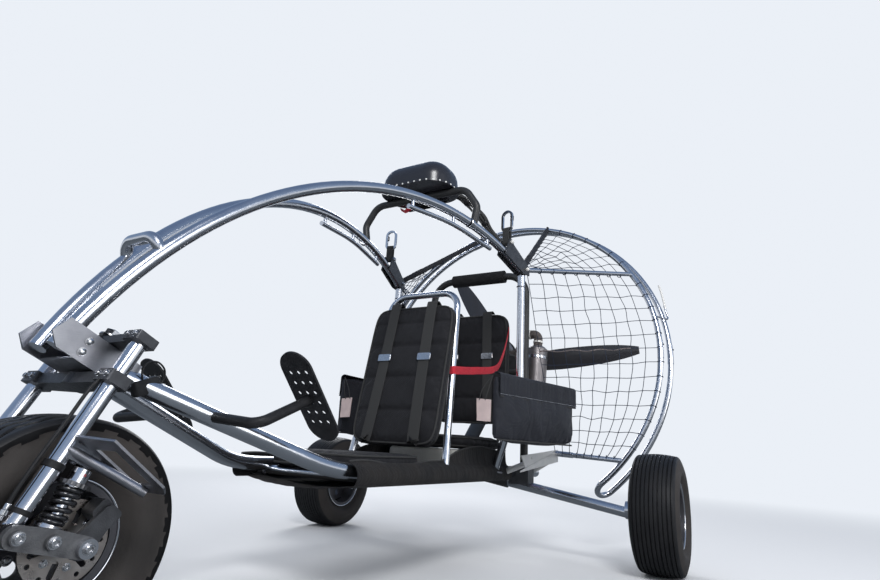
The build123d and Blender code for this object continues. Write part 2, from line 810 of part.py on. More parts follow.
back_run = seat_foot[0] - seat_top[0]
back_slope = atan2(back_run, front_back_top - rail_z)
back_middle_z = 640
back_spacing = (seat_tube_diameter + cushion_thickness) / 2 + loose_gap
back_middle = (
    front_back_forward + 40 - (back_middle_z - rail_z) * tan(back_slope) + back_spacing / cos(back_slope)
)
front_cushion_z = seat_base_z + cushion_thickness / 2 + loose_gap
rear_back_forward = (engine_bar_diameter + cushion_thickness) / 2 + loose_gap
rear_cushion_z = seat_base_z + tank_height + cushion_thickness / 2 + loose_gap
cushion_table = (
    # name, middle ahead of the axle, middle z, length, width, tilt
    ("front_seat_cushion", 850, front_cushion_z, 380, front_seat_width, 0),
    ("front_seat_back", back_middle, back_middle_z, 540, front_seat_width + 40, 90 + degrees(back_slope)),
    ("rear_seat_cushion", tank_forward, rear_cushion_z, 360, rear_seat_width, 0),
    ("rear_seat_back", rear_back_forward, 735, 500, rear_seat_width - 20, 90),
)
for name, forward, z, length, width, tilt in cushion_table:
    slant = Plane(
        origin=at(forward, 0, z),
        x_dir=(cos(radians(tilt)), 0, sin(radians(tilt))),
        z_dir=(-sin(radians(tilt)), 0, cos(radians(tilt))),
    )
    with BuildPart() as cushion:
        with BuildSketch(slant.offset(-cushion_thickness / 2)):
            RectangleRounded(length, width, 40)
        extrude(amount=cushion_thickness)
        fillet(cushion.edges().filter_by(lambda edge: edge.length > 100), 14)
    cushion.part.label = name
    export_step(cushion.part, f"parts/{name}.step")

# Belly cloth slung between the rails under the front seat
with BuildPart() as seat_belly:
    edge_z = rail_z - rail_diameter / 2 - loose_gap
    with BuildSketch(Plane(origin=at(belly_back_forward, 0, 0), x_dir=(0, 1, 0), z_dir=(1, 0, 0))):
        with BuildLine():
            ThreePointArc((-198, edge_z), (0, edge_z - belly_sag), (198, edge_z))
            Line((198, edge_z), (198, edge_z - belly_wall))
            ThreePointArc((198, edge_z - belly_wall), (0, edge_z - belly_sag - belly_wall),
                          (-198, edge_z - belly_wall))
            Line((-198, edge_z - belly_wall), (-198, edge_z))
        make_face()
    extrude(amount=rail_knee_forward - 60 - belly_back_forward)
seat_belly.part.label = "seat_belly"
export_step(seat_belly.part, "parts/seat_belly.step")

# Fuel tank under the rear seat
with BuildPart() as fuel_tank:
    with Locations(at(tank_forward, 0, seat_base_z + tank_height / 2)):
        Box(330, 320, tank_height)
    fillet(fuel_tank.edges().filter_by(Axis.Z), 36)
    fillet(fuel_tank.edges().group_by(Axis.Z)[-1], 16)
fuel_tank.part.label = "fuel_tank"
export_step(fuel_tank.part, "parts/fuel_tank.step")

# Side bags outboard of the uprights, wider at the back
bag_inner = hoop_half_width_tail + upright_diameter / 2 + loose_gap
side_bags = []
for side, sign in SIDES:
    with BuildPart() as side_bag:
        with BuildSketch(Plane.XY.offset(bag_low)):
            with BuildLine():
                Polyline(
                    at(520, sign * bag_inner, 0)[:2], at(512, sign * (bag_inner + 26), 0)[:2],
                    at(80, sign * (bag_inner + 158), 0)[:2], at(46, sign * (bag_inner + 140), 0)[:2],
                    at(46, sign * bag_inner, 0)[:2], at(520, sign * bag_inner, 0)[:2],
                )
            make_face()
        extrude(amount=bag_height)
        fillet(side_bag.edges().filter_by(Axis.Z).sort_by(Axis.X)[:2], 18)
    side_bags.append(side_bag.part)
save_together("side_bags", side_bags)

# The pilot's foot plates on tube brackets from the rails
pedals = []
for side, sign in SIDES:
    root = rail_spot(pedal_share, sign)
    plate_low = (root[0] - 204, sign * pedal_y, root[2] - 32)
    plate_high = (root[0] - 48, sign * pedal_y, root[2] + 142)
    bracket_y = sign * (pedal_y - 4)
    with BuildPart() as pedal_bracket:
        add(bent_tube(
            (root, (root[0] + 8, bracket_y, root[2] - 12), (root[0] - 132, bracket_y, root[2] + 50)), 26, 22,
        ))
        add(rails[side], mode=Mode.SUBTRACT)
    up = Vector(*plate_high) - Vector(*plate_low)
    with BuildPart() as pedal:
        with BuildSketch(Plane(origin=plate_low, x_dir=(0, 1, 0), z_dir=Vector(0, 1, 0).cross(up))):
            with Locations((0, up.length / 2)):
                SlotOverall(up.length, 84, rotation=90)
                with GridLocations(22, 26, 3, 6):
                    Circle(5.5, mode=Mode.SUBTRACT)
        extrude(amount=5)
        add(pedal_bracket.part)
    pedals.append(pedal.part)
save_together("pedals", pedals)

# Fork: clamps, legs, trailing links, shocks and foot steps, all steered together
pivot = Vector(*at(wheelbase + link_reach, 0, front_axle_z + link_rise))
pivot_local = head_plane.to_local_coords(pivot)
leg_lead = pivot_local.X
leg_foot = pivot_local.Z
top_clamp_low = half_head + clamp_gap


def clamp_outline():
    """A bridge between the legs with a square block on each leg and a boss on the steerer."""
    block = leg_diameter + 2 * clamp_boss_wall
    with BuildSketch(mode=Mode.PRIVATE) as outline:
        with BuildLine():
            Polyline(
                (-clamp_half_width - 4, 0), (leg_lead - clamp_half_width, leg_spread),
                (leg_lead + clamp_half_width, leg_spread), (clamp_half_width + 4, 0),
                (leg_lead + clamp_half_width, -leg_spread), (leg_lead - clamp_half_width, -leg_spread),
                (-clamp_half_width - 4, 0),
            )
        make_face()
        Circle(steerer_diameter / 2 + clamp_boss_wall)
        with Locations((leg_lead, leg_spread), (leg_lead, -leg_spread)):
            RectangleRounded(block, block, 4)
            Circle(leg_diameter / 2 + 0.1, mode=Mode.SUBTRACT)
    return outline.sketch


with BuildPart() as fork_upper_clamp:
    with BuildSketch(head_plane.offset(top_clamp_low)):
        add(clamp_outline())
        Circle(steerer_diameter / 2 + 0.1, mode=Mode.SUBTRACT)
    extrude(amount=upper_clamp_height)
fork_upper_clamp.part.label = "fork_upper_clamp"
export_step(fork_upper_clamp.part, "parts/fork_upper_clamp.step")

with BuildPart() as fork_lower_clamp:
    with BuildSketch(head_plane.offset(-half_head - clamp_gap - lower_clamp_height)):
        add(clamp_outline())
    extrude(amount=lower_clamp_height)
    with BuildSketch(head_plane.offset(-half_head - clamp_gap)):
        Circle(steerer_diameter / 2)
    extrude(amount=head_tube_length + 2 * clamp_gap + upper_clamp_height + 8)
fork_lower_clamp.part.label = "fork_lower_clamp"
export_step(fork_lower_clamp.part, "parts/fork_lower_clamp.step")

shock_eye_forward = wheelbase + link_reach / 2 + 1
shock_eye_z = front_axle_z + link_rise / 2 + 2
shock_eye_local = head_plane.to_local_coords(Vector(*at(shock_eye_forward, 0, shock_eye_z)))
shock_top_v = leg_lead - shock_behind_leg
shock_top_u = shock_eye_local.Z + shock_length
link_inner = leg_spread + shock_spring_diameter / 2 + 3
fork_legs = []
fork_links = []
shocks = []
shock_springs = []
foot_steps = []
for side, sign in SIDES:
    with BuildPart() as fork_leg:
        with BuildSketch(head_plane.offset(leg_foot)):
            with Locations((leg_lead, sign * leg_spread)):
                Circle(leg_diameter / 2)
        extrude(amount=top_clamp_low + upper_clamp_height - 2 - leg_foot)
        with BuildSketch(across(wheelbase + link_reach, sign * leg_spread, pivot.Z)):
            Circle(foot_diameter / 2)
        extrude(amount=leg_diameter / 2, both=True)
        for ear in (-1, 1):
            ear_plane = Plane(
                origin=head_plane.from_local_coords((0, sign * leg_spread + ear * 14, 0)),
                x_dir=head_plane.x_dir, z_dir=(0, -1, 0),
            )
            with BuildSketch(ear_plane):
                with Locations((shock_top_v, shock_top_u)):
                    Circle(13)
                with Locations(((shock_top_v + leg_lead) / 2, shock_top_u)):
                    Rectangle(leg_lead - shock_top_v, 26)
            extrude(amount=2.5, both=True)
        with BuildSketch(across(wheelbase + link_reach, sign * leg_spread, pivot.Z)):
            Circle(pin_diameter / 2 + 0.1)
        extrude(amount=leg_diameter, both=True, mode=Mode.SUBTRACT)
        middle = Plane(
            origin=head_plane.from_local_coords((0, sign * leg_spread, 0)),
            x_dir=head_plane.x_dir, z_dir=(0, -1, 0),
        )
        for radius, reach in ((pin_diameter / 2, 17), (pin_diameter / 2 + 3, 20)):
            with BuildSketch(middle):
                with Locations((shock_top_v, shock_top_u)):
                    Circle(radius)
            extrude(amount=reach, both=True)
        with BuildSketch(middle):
            with Locations((shock_top_v, shock_top_u)):
                Circle(pin_diameter)
                Circle(pin_diameter / 2, mode=Mode.SUBTRACT)
        extrude(amount=11.5, both=True, mode=Mode.SUBTRACT)
    fork_legs.append(fork_leg.part)

    with BuildPart() as link:
        with BuildSketch(across(wheelbase, sign * link_inner, front_axle_z)):
            Circle(link_end_radius)
            with Locations((link_reach, -link_rise)):
                Circle(link_end_radius)
            with Locations((link_reach / 2 + 1, -link_rise / 2 - 2)):
                Circle(link_end_radius + 1)
            make_hull()
            Circle(front_axle_diameter / 2 + 0.1, mode=Mode.SUBTRACT)
        extrude(amount=sign * link_wall)
        for forward, z in ((wheelbase + link_reach, pivot.Z), (shock_eye_forward, shock_eye_z)):
            with BuildSketch(across(forward, sign * (leg_spread - leg_diameter / 2 + 1), z)):
                Circle(pin_diameter / 2)
            extrude(amount=sign * (link_inner + link_wall - leg_spread + leg_diameter / 2 - 1))
            with BuildSketch(across(forward, sign * (link_inner + link_wall), z)):
                Circle(pin_diameter / 2 + 4)
            extrude(amount=sign * 8)
    fork_links.append(link.part)

    top_point = head_plane.from_local_coords((shock_top_v, sign * leg_spread, shock_top_u))
    eye_point = Vector(*at(shock_eye_forward, sign * leg_spread, shock_eye_z))
    lean = Plane(origin=eye_point, x_dir=(0, 1, 0), z_dir=top_point - eye_point)
    stroke = (top_point - eye_point).length
    with BuildPart() as shock:
        for end in (eye_point, top_point):
            with BuildSketch(Plane(origin=end, x_dir=(1, 0, 0), z_dir=(0, 1, 0))):
                Circle(pin_diameter / 2 + 5.5)
            extrude(amount=10, both=True)
        with BuildSketch(lean):
            Circle(shock_rod_diameter / 2)
        extrude(amount=stroke)
        for low, high in ((15, 21), (stroke - 44, stroke - 38)):
            with BuildSketch(lean.offset(low)):
                Circle(shock_spring_diameter / 2 + 1)
            extrude(amount=high - low)
        with BuildSketch(lean.offset(stroke - 38)):
            Circle(shock_spring_diameter / 2 - 4)
        extrude(amount=22)
        for end in (eye_point, top_point):
            with BuildSketch(Plane(origin=end, x_dir=(1, 0, 0), z_dir=(0, 1, 0))):
                Circle(pin_diameter / 2 + 0.1)
            extrude(amount=30, both=True, mode=Mode.SUBTRACT)
    shocks.append(shock.part)

    # The coil spring, as its ribbed outer form round the rod
    spring_length = stroke - 44 - 21
    pitch = spring_length / spring_turns
    outer = shock_spring_diameter / 2
    with BuildPart() as shock_spring:
        with BuildSketch(Plane.XZ):
            with BuildLine():
                Polyline(
                    (shock_rod_diameter / 2 + 2, 0),
                    *[
                        spot for turn in range(spring_turns)
                        for spot in ((outer - 5, turn * pitch), (outer, (turn + 0.5) * pitch))
                    ],
                    (outer - 5, spring_length), (shock_rod_diameter / 2 + 2, spring_length),
                    (shock_rod_diameter / 2 + 2, 0),
                )
            make_face()
        revolve(axis=Axis.Z)
    shock_springs.append(lean.offset(21) * shock_spring.part)

    # Foot step: a plate with one large opening that slopes down to the back, on a tube
    slant = radians(step_slope)
    step_inner = leg_spread + leg_diameter / 2 - 4
    step_plane = Plane(
        origin=at(step_top_forward, sign * step_inner, step_top_z),
        x_dir=(-cos(slant), 0, -sin(slant)), z_dir=(-sin(slant), 0, cos(slant)),
    )
    out = -1 * sign
    rim_width = step_width * 0.24
    with BuildPart() as foot_step:
        with BuildSketch(step_plane):
            with BuildLine():
                Polyline(
                    (-6, 0), (0, out * step_width), (step_length * 0.86, out * step_width),
                    (step_length, out * step_width * 0.84), (step_length, out * 14),
                    (step_length * 0.9, 0), (-6, 0),
                )
            make_face()
            with BuildLine():
                Polyline(
                    (rim_width, out * rim_width), (rim_width, out * (step_width - rim_width)),
                    (step_length - rim_width, out * (step_width - rim_width)),
                    (step_length - rim_width * 0.8, out * rim_width), (rim_width, out * rim_width),
                )
            make_face(mode=Mode.SUBTRACT)
        extrude(amount=step_wall)
        leg_side = head_plane.from_local_coords((leg_lead, sign * (leg_spread + 8), step_tube_low))
        tip = step_plane.from_local_coords((step_length * 0.94, out * step_width * 0.5, -6))
        add(bar(tuple(leg_side), tuple(tip), 16))
        add(fork_leg.part, mode=Mode.SUBTRACT)
    foot_steps.append(foot_step.part)
save_together("fork_legs", fork_legs)
save_together("fork_links", fork_links)
save_together("shocks", shocks)
save_together("shock_springs", shock_springs)
save_together("foot_steps", foot_steps)

axle_reach = link_inner + link_wall
with BuildPart() as front_axle:
    with BuildSketch(across(wheelbase, -axle_reach, front_axle_z)):
        Circle(front_axle_diameter / 2)
    extrude(amount=2 * axle_reach)
    for sign in (1, -1):
        with BuildSketch(across(wheelbase, sign * axle_reach, front_axle_z)):
            Circle(front_axle_diameter / 2 + 5)
        extrude(amount=sign * 9)
        with BuildSketch(across(wheelbase, sign * (hub_end + 14 if sign < 0 else disc_offset + 12), front_axle_z)):
            Circle(front_axle_diameter / 2 + 4)
        extrude(amount=sign * 20)
front_axle.part.label = "front_axle"
export_step(front_axle.part, "parts/front_axle.step")

# Brake caliper over the disc, on an arm from the axle
caliper_back = disc_radius * 0.53
caliper_rise = disc_radius * 0.68
with BuildPart() as brake_caliper:
    arm_y = link_inner - 2 - caliper_arm_wall
    with BuildSketch(across(wheelbase, arm_y, front_axle_z)):
        Circle(20)
        with Locations((-caliper_back, -caliper_rise)):
            Circle(14)
        make_hull()
        Circle(front_axle_diameter / 2 + 0.1, mode=Mode.SUBTRACT)
    extrude(amount=caliper_arm_wall)
    caliper_y = disc_offset - caliper_inner
    with BuildSketch(across(wheelbase - caliper_back, caliper_y, front_axle_z + caliper_rise)):
        RectangleRounded(46, 32, 8, rotation=-38)
    extrude(amount=arm_y - caliper_y)
    with BuildSketch(across(wheelbase, disc_offset - disc_gap, front_axle_z)):
        Circle(disc_radius + disc_gap)
    extrude(amount=disc_wall + 2 * disc_gap, mode=Mode.SUBTRACT)
brake_caliper.part.label = "brake_caliper"
export_step(brake_caliper.part, "parts/brake_caliper.step")

# Engine, in the cage's frame: crankcase, finned cylinder and head, starter cover
crank = (0, -crank_drop)
with BuildPart() as crankcase:
    with BuildSketch(cage_plane.offset(crankcase_back)):
        with Locations(crank):
            Circle(crankcase_diameter / 2)
            Rectangle(crankcase_diameter * 0.92, crankcase_diameter * 0.7, align=(Align.CENTER, Align.MAX))
    extrude(amount=crankcase_length)
    with BuildSketch(cage_plane.offset(crankcase_back + crankcase_length)):
        with Locations(crank):
            Circle(64)
    extrude(amount=30)

cylinder_low = -crank_drop + crankcase_diameter / 2 - 6
cylinder_mid = crankcase_back + crankcase_length / 2
thrust_up = Plane(
    origin=cage_plane.from_local_coords((0, cylinder_low, cylinder_mid)),
    x_dir=cage_plane.x_dir, z_dir=cage_plane.y_dir,
)
fin_pitch = cylinder_height / engine_fins
with BuildPart() as engine_cylinder:
    with BuildSketch(thrust_up):
        Circle(44)
    extrude(amount=cylinder_height)
    for fin in range(engine_fins):
        with BuildSketch(thrust_up.offset(8 + fin * fin_pitch)):
            RectangleRounded(cylinder_width, cylinder_width, 18)
        extrude(amount=fin_wall)
    add(crankcase.part, mode=Mode.SUBTRACT)

with BuildPart() as cylinder_head:
    with BuildSketch(thrust_up.offset(cylinder_height)):
        RectangleRounded(cylinder_width - 4, cylinder_width - 4, 20)
    extrude(amount=12)
    for fin in range(5):
        with BuildSketch(thrust_up.offset(cylinder_height + 12)):
            with Locations(((fin - 2) * 22, 0)):
                Rectangle(fin_wall, cylinder_width - 20)
        extrude(amount=26)
    with BuildSketch(thrust_up.offset(cylinder_height + 12)):
        Circle(20)
    extrude(amount=16)
    with BuildSketch(thrust_up.offset(cylinder_height + 28)):
        Circle(9)
    extrude(amount=34)
save_together("engine_cylinder", (engine_cylinder.part, cylinder_head.part))

# Mount plate in front of the engine and two bars on the roll bar
bar_heights = (540, 720)
with BuildPart() as engine_bars:
    for z in bar_heights:
        add(bar(
            at(0, roll_bar_half_width, z), at(0, -roll_bar_half_width, z), engine_bar_diameter,
        ))
    add(roll_bar.part, mode=Mode.SUBTRACT)
save_together("roll_bar", (roll_bar.part, engine_bars.part))

with BuildPart() as engine_mount:
    with BuildSketch(cage_plane.offset(crankcase_back + crankcase_length + 0.2)):
        with Locations((0, -crank_drop - 20)):
            RectangleRounded(340, 270, 40)
        with Locations(crank):
            Circle(66, mode=Mode.SUBTRACT)
    extrude(amount=6)
    for z in bar_heights:
        for sign in (1, -1):
            seat = Vector(*at(-13, sign * 130, z))
            local = cage_plane.to_local_coords(seat)
            back = cage_plane.from_local_coords((local.X, local.Y, crankcase_back + crankcase_length + 3))
            add(bar(tuple(back), tuple(seat), 30))
    add(engine_bars.part, mode=Mode.SUBTRACT)
engine_mount.part.label = "engine_mount"
export_step(engine_mount.part, "parts/engine_mount.step")

# Reduction drive: bracket, lower pulley and belt; the upper pulley turns with the propeller
belt_back = crankcase_back - 8 - pulley_width
with BuildPart() as reduction_bracket:
    with BuildSketch(cage_plane.offset(crankcase_back - 8)):
        with Locations(crank):
            Circle(58)
        with Locations((0, 0)):
            Circle(40)
        make_hull()
    extrude(amount=7.8)
save_together("crankcase", (crankcase.part, reduction_bracket.part))

with BuildPart() as lower_pulley:
    with BuildSketch(cage_plane.offset(belt_back)):
        with Locations(crank):
            Circle(pulley_small_diameter / 2)
    extrude(amount=pulley_width)
lower_pulley.part.label = "lower_pulley"
export_step(lower_pulley.part, "parts/lower_pulley.step")

with BuildPart() as drive_belt:
    for spare, mode in ((belt_wall, Mode.ADD), (0, Mode.SUBTRACT)):
        with BuildSketch(cage_plane.offset(belt_back + 4)):
            with Locations(crank):
                Circle(pulley_small_diameter / 2 + 0.2 + spare)
            Circle(pulley_diameter / 2 + running_gap + spare)
            make_hull()
        extrude(amount=pulley_width - 8, mode=mode)
drive_belt.part.label = "drive_belt"
export_step(drive_belt.part, "parts/drive_belt.step")

# Propeller: hub with shaft and pulley, and twisted blades lofted through five sections
blade_table = (
    # radius share, chord, thickness, pitch angle
    (0.08, 46, 22, 38),
    (0.26, 92, 15, 30),
    (0.52, 100, 10, 20),
    (0.78, 82, 7, 15),
    (1.00, 34, 3, 12),
)
hub_plane = cage_plane.offset(-propeller_back)
with BuildPart() as propeller_hub:
    with BuildSketch(cage_plane.offset(belt_back)):
        Circle(pulley_diameter / 2)
    extrude(amount=pulley_width - 1)
    with BuildSketch(hub_plane.offset(16)):
        Circle(24)
    extrude(amount=propeller_back - 16 + belt_back)
    with BuildSketch(hub_plane.offset(-20)):
        Circle(propeller_hub_diameter / 2)
    extrude(amount=36)
propeller_hub.part.label = "propeller_hub"
export_step(propeller_hub.part, "parts/propeller_hub.step")

blades = []
for blade in range(propeller_blades):
    turn = radians(blade_start_angle + blade * 360 / propeller_blades)
    with BuildPart() as prop_blade:
        for share, chord, thick, pitch_angle in blade_table:
            reach = share * propeller_diameter / 2
            radial = cage_plane.x_dir * cos(turn) + cage_plane.y_dir * sin(turn)
            around = cage_plane.x_dir * -sin(turn) + cage_plane.y_dir * cos(turn)
            twist = radians(pitch_angle)
            chord_dir = around * cos(twist) + cage_plane.z_dir * sin(twist)
            with BuildSketch(Plane(origin=hub_plane.origin + radial * reach, x_dir=chord_dir, z_dir=radial)):
                with BuildLine():
                    ThreePointArc((-chord / 2, 0), (-chord * 0.1, thick * 0.75), (chord / 2, 0))
                    ThreePointArc((chord / 2, 0), (0, -thick * 0.25), (-chord / 2, 0))
                make_face()
        loft()
        add(propeller_hub.part, mode=Mode.SUBTRACT)
    blades.append(prop_blade.part)
save_together("propeller_blades", blades)

# Exhaust: pipe from the cylinder's left, an elbow, and an upright silencer
silencer_x = 235
silencer_top = 4
with BuildPart() as exhaust_pipe:
    route = ((46, -26), (140, -26), (168, 70), (silencer_x, 70), (silencer_x, silencer_top))
    add(bent_tube(
        [tuple(cage_plane.from_local_coords((x, y, cylinder_mid))) for x, y in route], 26, 40,
    ))
    add(engine_cylinder.part, mode=Mode.SUBTRACT)
exhaust_pipe.part.label = "exhaust_pipe"
export_step(exhaust_pipe.part, "parts/exhaust_pipe.step")

with BuildPart() as silencer:
    top = Plane(
        origin=cage_plane.from_local_coords((silencer_x, silencer_top, cylinder_mid)),
        x_dir=(1, 0, 0), z_dir=cage_plane.y_dir * -1,
    )
    with BuildSketch(top):
        Circle(silencer_diameter / 2)
    extrude(amount=silencer_length)
    chamfer(silencer.edges().filter_by(GeomType.CIRCLE), 12)
silencer.part.label = "silencer"
export_step(silencer.part, "parts/silencer.step")

# Airbox and carburettor on the cylinder's right
with BuildPart() as airbox:
    with BuildSketch(Plane(
        origin=cage_plane.from_local_coords((-46, -30, cylinder_mid)),
        x_dir=(0, 0, 1), z_dir=cage_plane.x_dir * -1,
    )):
        Circle(24)
    extrude(amount=94)
    with BuildSketch(Plane(
        origin=cage_plane.from_local_coords((-190, 40, cylinder_mid)),
        x_dir=(1, 0, 0), z_dir=cage_plane.y_dir * -1,
    )):
        Circle(56)
    extrude(amount=170)
    add(engine_cylinder.part, mode=Mode.SUBTRACT)
airbox.part.label = "airbox"
export_step(airbox.part, "parts/airbox.step")
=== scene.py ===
"""Looks of the two-seat paramotor trike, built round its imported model."""

from __future__ import annotations

import logging
import math
from dataclasses import dataclass
from enum import Enum
from typing import Callable

import bmesh
import bpy
import numpy as np
from mathutils import Matrix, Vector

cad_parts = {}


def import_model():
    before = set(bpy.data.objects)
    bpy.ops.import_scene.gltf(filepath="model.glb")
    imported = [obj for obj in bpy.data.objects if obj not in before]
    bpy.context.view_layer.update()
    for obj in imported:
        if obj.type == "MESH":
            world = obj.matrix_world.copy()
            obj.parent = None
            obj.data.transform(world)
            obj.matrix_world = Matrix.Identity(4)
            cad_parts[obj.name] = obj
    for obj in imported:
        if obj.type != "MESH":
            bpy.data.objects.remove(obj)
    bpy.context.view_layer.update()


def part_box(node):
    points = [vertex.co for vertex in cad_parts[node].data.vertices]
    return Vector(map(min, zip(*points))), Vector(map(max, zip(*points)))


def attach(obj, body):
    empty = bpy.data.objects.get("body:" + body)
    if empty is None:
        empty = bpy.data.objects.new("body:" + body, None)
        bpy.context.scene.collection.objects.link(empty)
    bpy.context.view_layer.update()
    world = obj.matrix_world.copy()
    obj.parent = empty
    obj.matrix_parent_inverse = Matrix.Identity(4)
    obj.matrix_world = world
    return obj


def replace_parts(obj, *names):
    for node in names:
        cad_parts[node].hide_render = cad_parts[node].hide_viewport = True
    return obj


LOG = logging.getLogger("trike")
Array = np.ndarray
Shape = tuple[Array, Array]
Pair = tuple[float, float]
Point = tuple[float, float, float]
Colour = tuple[float, float, float]
Piece = bpy.types.Object
Tree = bpy.types.NodeTree
Socket = bpy.types.NodeSocket

SMEAR_SCALE = 3.1
LEAST_ROUGHNESS = 0.03
GLOSSY_SPECULAR = 0.5
DULL_SPECULAR = 0.2
COAT_ROUGHNESS = 0.12
SHEEN_ROUGHNESS = 0.45
BUMP_STRENGTH = 0.9
BAND_DISTORTION = 0.35
SHARP_ANGLE = 40


class Body(str, Enum):
    """The bodies that a piece can ride on."""

    FRAME = "frame"
    STEERING = "steering"
    FRONT_WHEEL = "front_wheel"
    REAR_LEFT = "rear_wheel_left"
    REAR_RIGHT = "rear_wheel_right"
    PROPELLER = "propeller"


class Relief(Enum):
    """The small relief that a finish has."""

    NONE = "none"
    GRAIN = "grain"
    BRUSHED = "brushed"
    WEAVE = "weave"
    TWILL = "twill"
    RIBS = "ribs"


def feed(tree: Tree, node: bpy.types.Node, inputs: dict) -> None:
    """Sets inputs of a node, each to a value or joined to another node's socket."""
    for name, value in inputs.items():
        if isinstance(value, Socket):
            tree.links.new(value, node.inputs[name])
        else:
            node.inputs[name].default_value = value


def add_node(tree: Tree, kind: str, inputs: dict | None = None, operation: str = "") -> bpy.types.Node:
    """Adds a shader node.

    Args:
        tree: the tree that it joins.
        kind: its type, without the ShaderNode before it.
        inputs: a value or a socket for each input that is set.
        operation: what a mathematical node works out.

    Returns:
        The node.
    """
    node = tree.nodes.new(f"ShaderNode{kind}")
    if operation:
        node.operation = operation
    feed(tree, node, inputs or {})
    return node


def add_ramp(tree: Tree, share: Socket, stops: tuple[tuple[float, Colour], ...]) -> Socket:
    """Adds a ramp of colours.

    Args:
        tree: the tree that it joins.
        share: the socket that picks the colour.
        stops: a position from 0 to 1 and a colour for each stop, in order.

    Returns:
        The socket with the colour.
    """
    ramp = add_node(tree, "ValToRGB", {"Fac": share})
    elements = ramp.color_ramp.elements
    for element, (position, colour) in ((elements[0], stops[0]), (elements[1], stops[-1])):
        element.position = position
        element.color = (*colour, 1.0)
    for position, colour in stops[1:-1]:
        elements.new(position).color = (*colour, 1.0)
    return ramp.outputs["Color"]


@dataclass(frozen=True)
class Finish:
    """A surface: its colour, its gloss and its small relief, in object space."""

    name: str
    slot: str
    colour: Colour
    roughness: float
    metallic: float = 0.0
    second: Colour | None = None
    patch_scale: float = 18.0
    patch_edge: float = 0.5
    gloss_swing: float = 0.12
    relief: Relief = Relief.NONE
    relief_scale: float = 400.0
    relief_depth: float = 0.0003
    coat: float = 0.0
    sheen: float = 0.0

    def build(self) -> bpy.types.Material:
        """Makes the material, once for each finish.

        Returns:
            The material. Its colour wanders between the two tones, its gloss swings with
            a finer noise, and its relief is a bump worked out from object coordinates.
        """
        made = bpy.data.materials.get(self.name)
        if made:
            return made
        made = bpy.data.materials.new(self.name)
        made.use_nodes = True
        tree = made.node_tree
        place = add_node(tree, "TexCoord").outputs["Object"]
        patches = self._noise(tree, place, self.patch_scale, 4.0)
        smears = self._noise(tree, place, self.patch_scale * SMEAR_SCALE, 6.0)
        reach = 0.5 - 0.48 * self.patch_edge
        other = self.second or tuple(0.8 * tone for tone in self.colour)
        gloss = add_node(tree, "MapRange", {
            "Value": smears,
            "To Min": max(LEAST_ROUGHNESS, self.roughness - self.gloss_swing),
            "To Max": min(1.0, self.roughness + self.gloss_swing),
        })
        shader = tree.nodes["Principled BSDF"]
        feed(tree, shader, {
            "Base Color": add_ramp(tree, patches, ((0.5 - reach, other), (0.5 + reach, self.colour))),
            "Roughness": gloss.outputs["Result"],
            "Metallic": self.metallic,
            "Specular IOR Level": GLOSSY_SPECULAR if self.metallic or self.coat else DULL_SPECULAR,
            "Coat Weight": self.coat,
            "Coat Roughness": COAT_ROUGHNESS,
            "Sheen Weight": self.sheen,
            "Sheen Roughness": SHEEN_ROUGHNESS,
        })
        height = self._height(tree, place)
        if height is not None:
            bump = add_node(tree, "Bump", {
                "Strength": BUMP_STRENGTH, "Distance": self.relief_depth, "Height": height})
            feed(tree, shader, {"Normal": bump.outputs["Normal"]})
        return made

    @staticmethod
    def _noise(tree: Tree, place: Socket, scale: float, detail: float,
               stretch: Point = (1.0, 1.0, 1.0)) -> Socket:
        """Adds a noise, stretched along the axes, and returns the socket that it comes from."""
        mapping = add_node(tree, "Mapping", {"Vector": place, "Scale": stretch})
        vector = mapping.outputs["Vector"]
        return add_node(tree, "TexNoise", {"Vector": vector, "Scale": scale, "Detail": detail}).outputs["Fac"]

    def _bands(self, tree: Tree, place: Socket, turn: Point) -> Socket:
        """Adds parallel bands, turned by three angles in degrees, and returns their socket."""
        mapping = add_node(tree, "Mapping", {"Vector": place, "Rotation": np.radians(turn)})
        wave = add_node(tree, "TexWave", {
            "Vector": mapping.outputs["Vector"],
            "Scale": self.relief_scale,
            "Distortion": BAND_DISTORTION,
            "Detail": 1.0,
        })
        return wave.outputs["Fac"]

    def _height(self, tree: Tree, place: Socket) -> Socket | None:
        """Adds the relief of this finish.

        Returns:
            The socket with the height, or None where the finish is smooth.
        """
        if self.relief is Relief.NONE:
            return None
        if self.relief is Relief.GRAIN:
            return self._noise(tree, place, self.relief_scale, 5.0)
        if self.relief is Relief.BRUSHED:
            return self._noise(tree, place, self.relief_scale, 2.0, (0.05, 1.0, 1.0))
        if self.relief is Relief.RIBS:
            return self._bands(tree, place, (0.0, 90.0, 0.0))
        turns = {
            Relief.WEAVE: ((0.0, 35.0, 20.0), (0.0, 0.0, 110.0)),
            Relief.TWILL: ((0.0, 45.0, 45.0), (0.0, 45.0, 135.0)),
        }[self.relief]
        crossed = {index: self._bands(tree, place, turn) for index, turn in enumerate(turns)}
        return add_node(tree, "Math", crossed, "MULTIPLY").outputs["Value"]


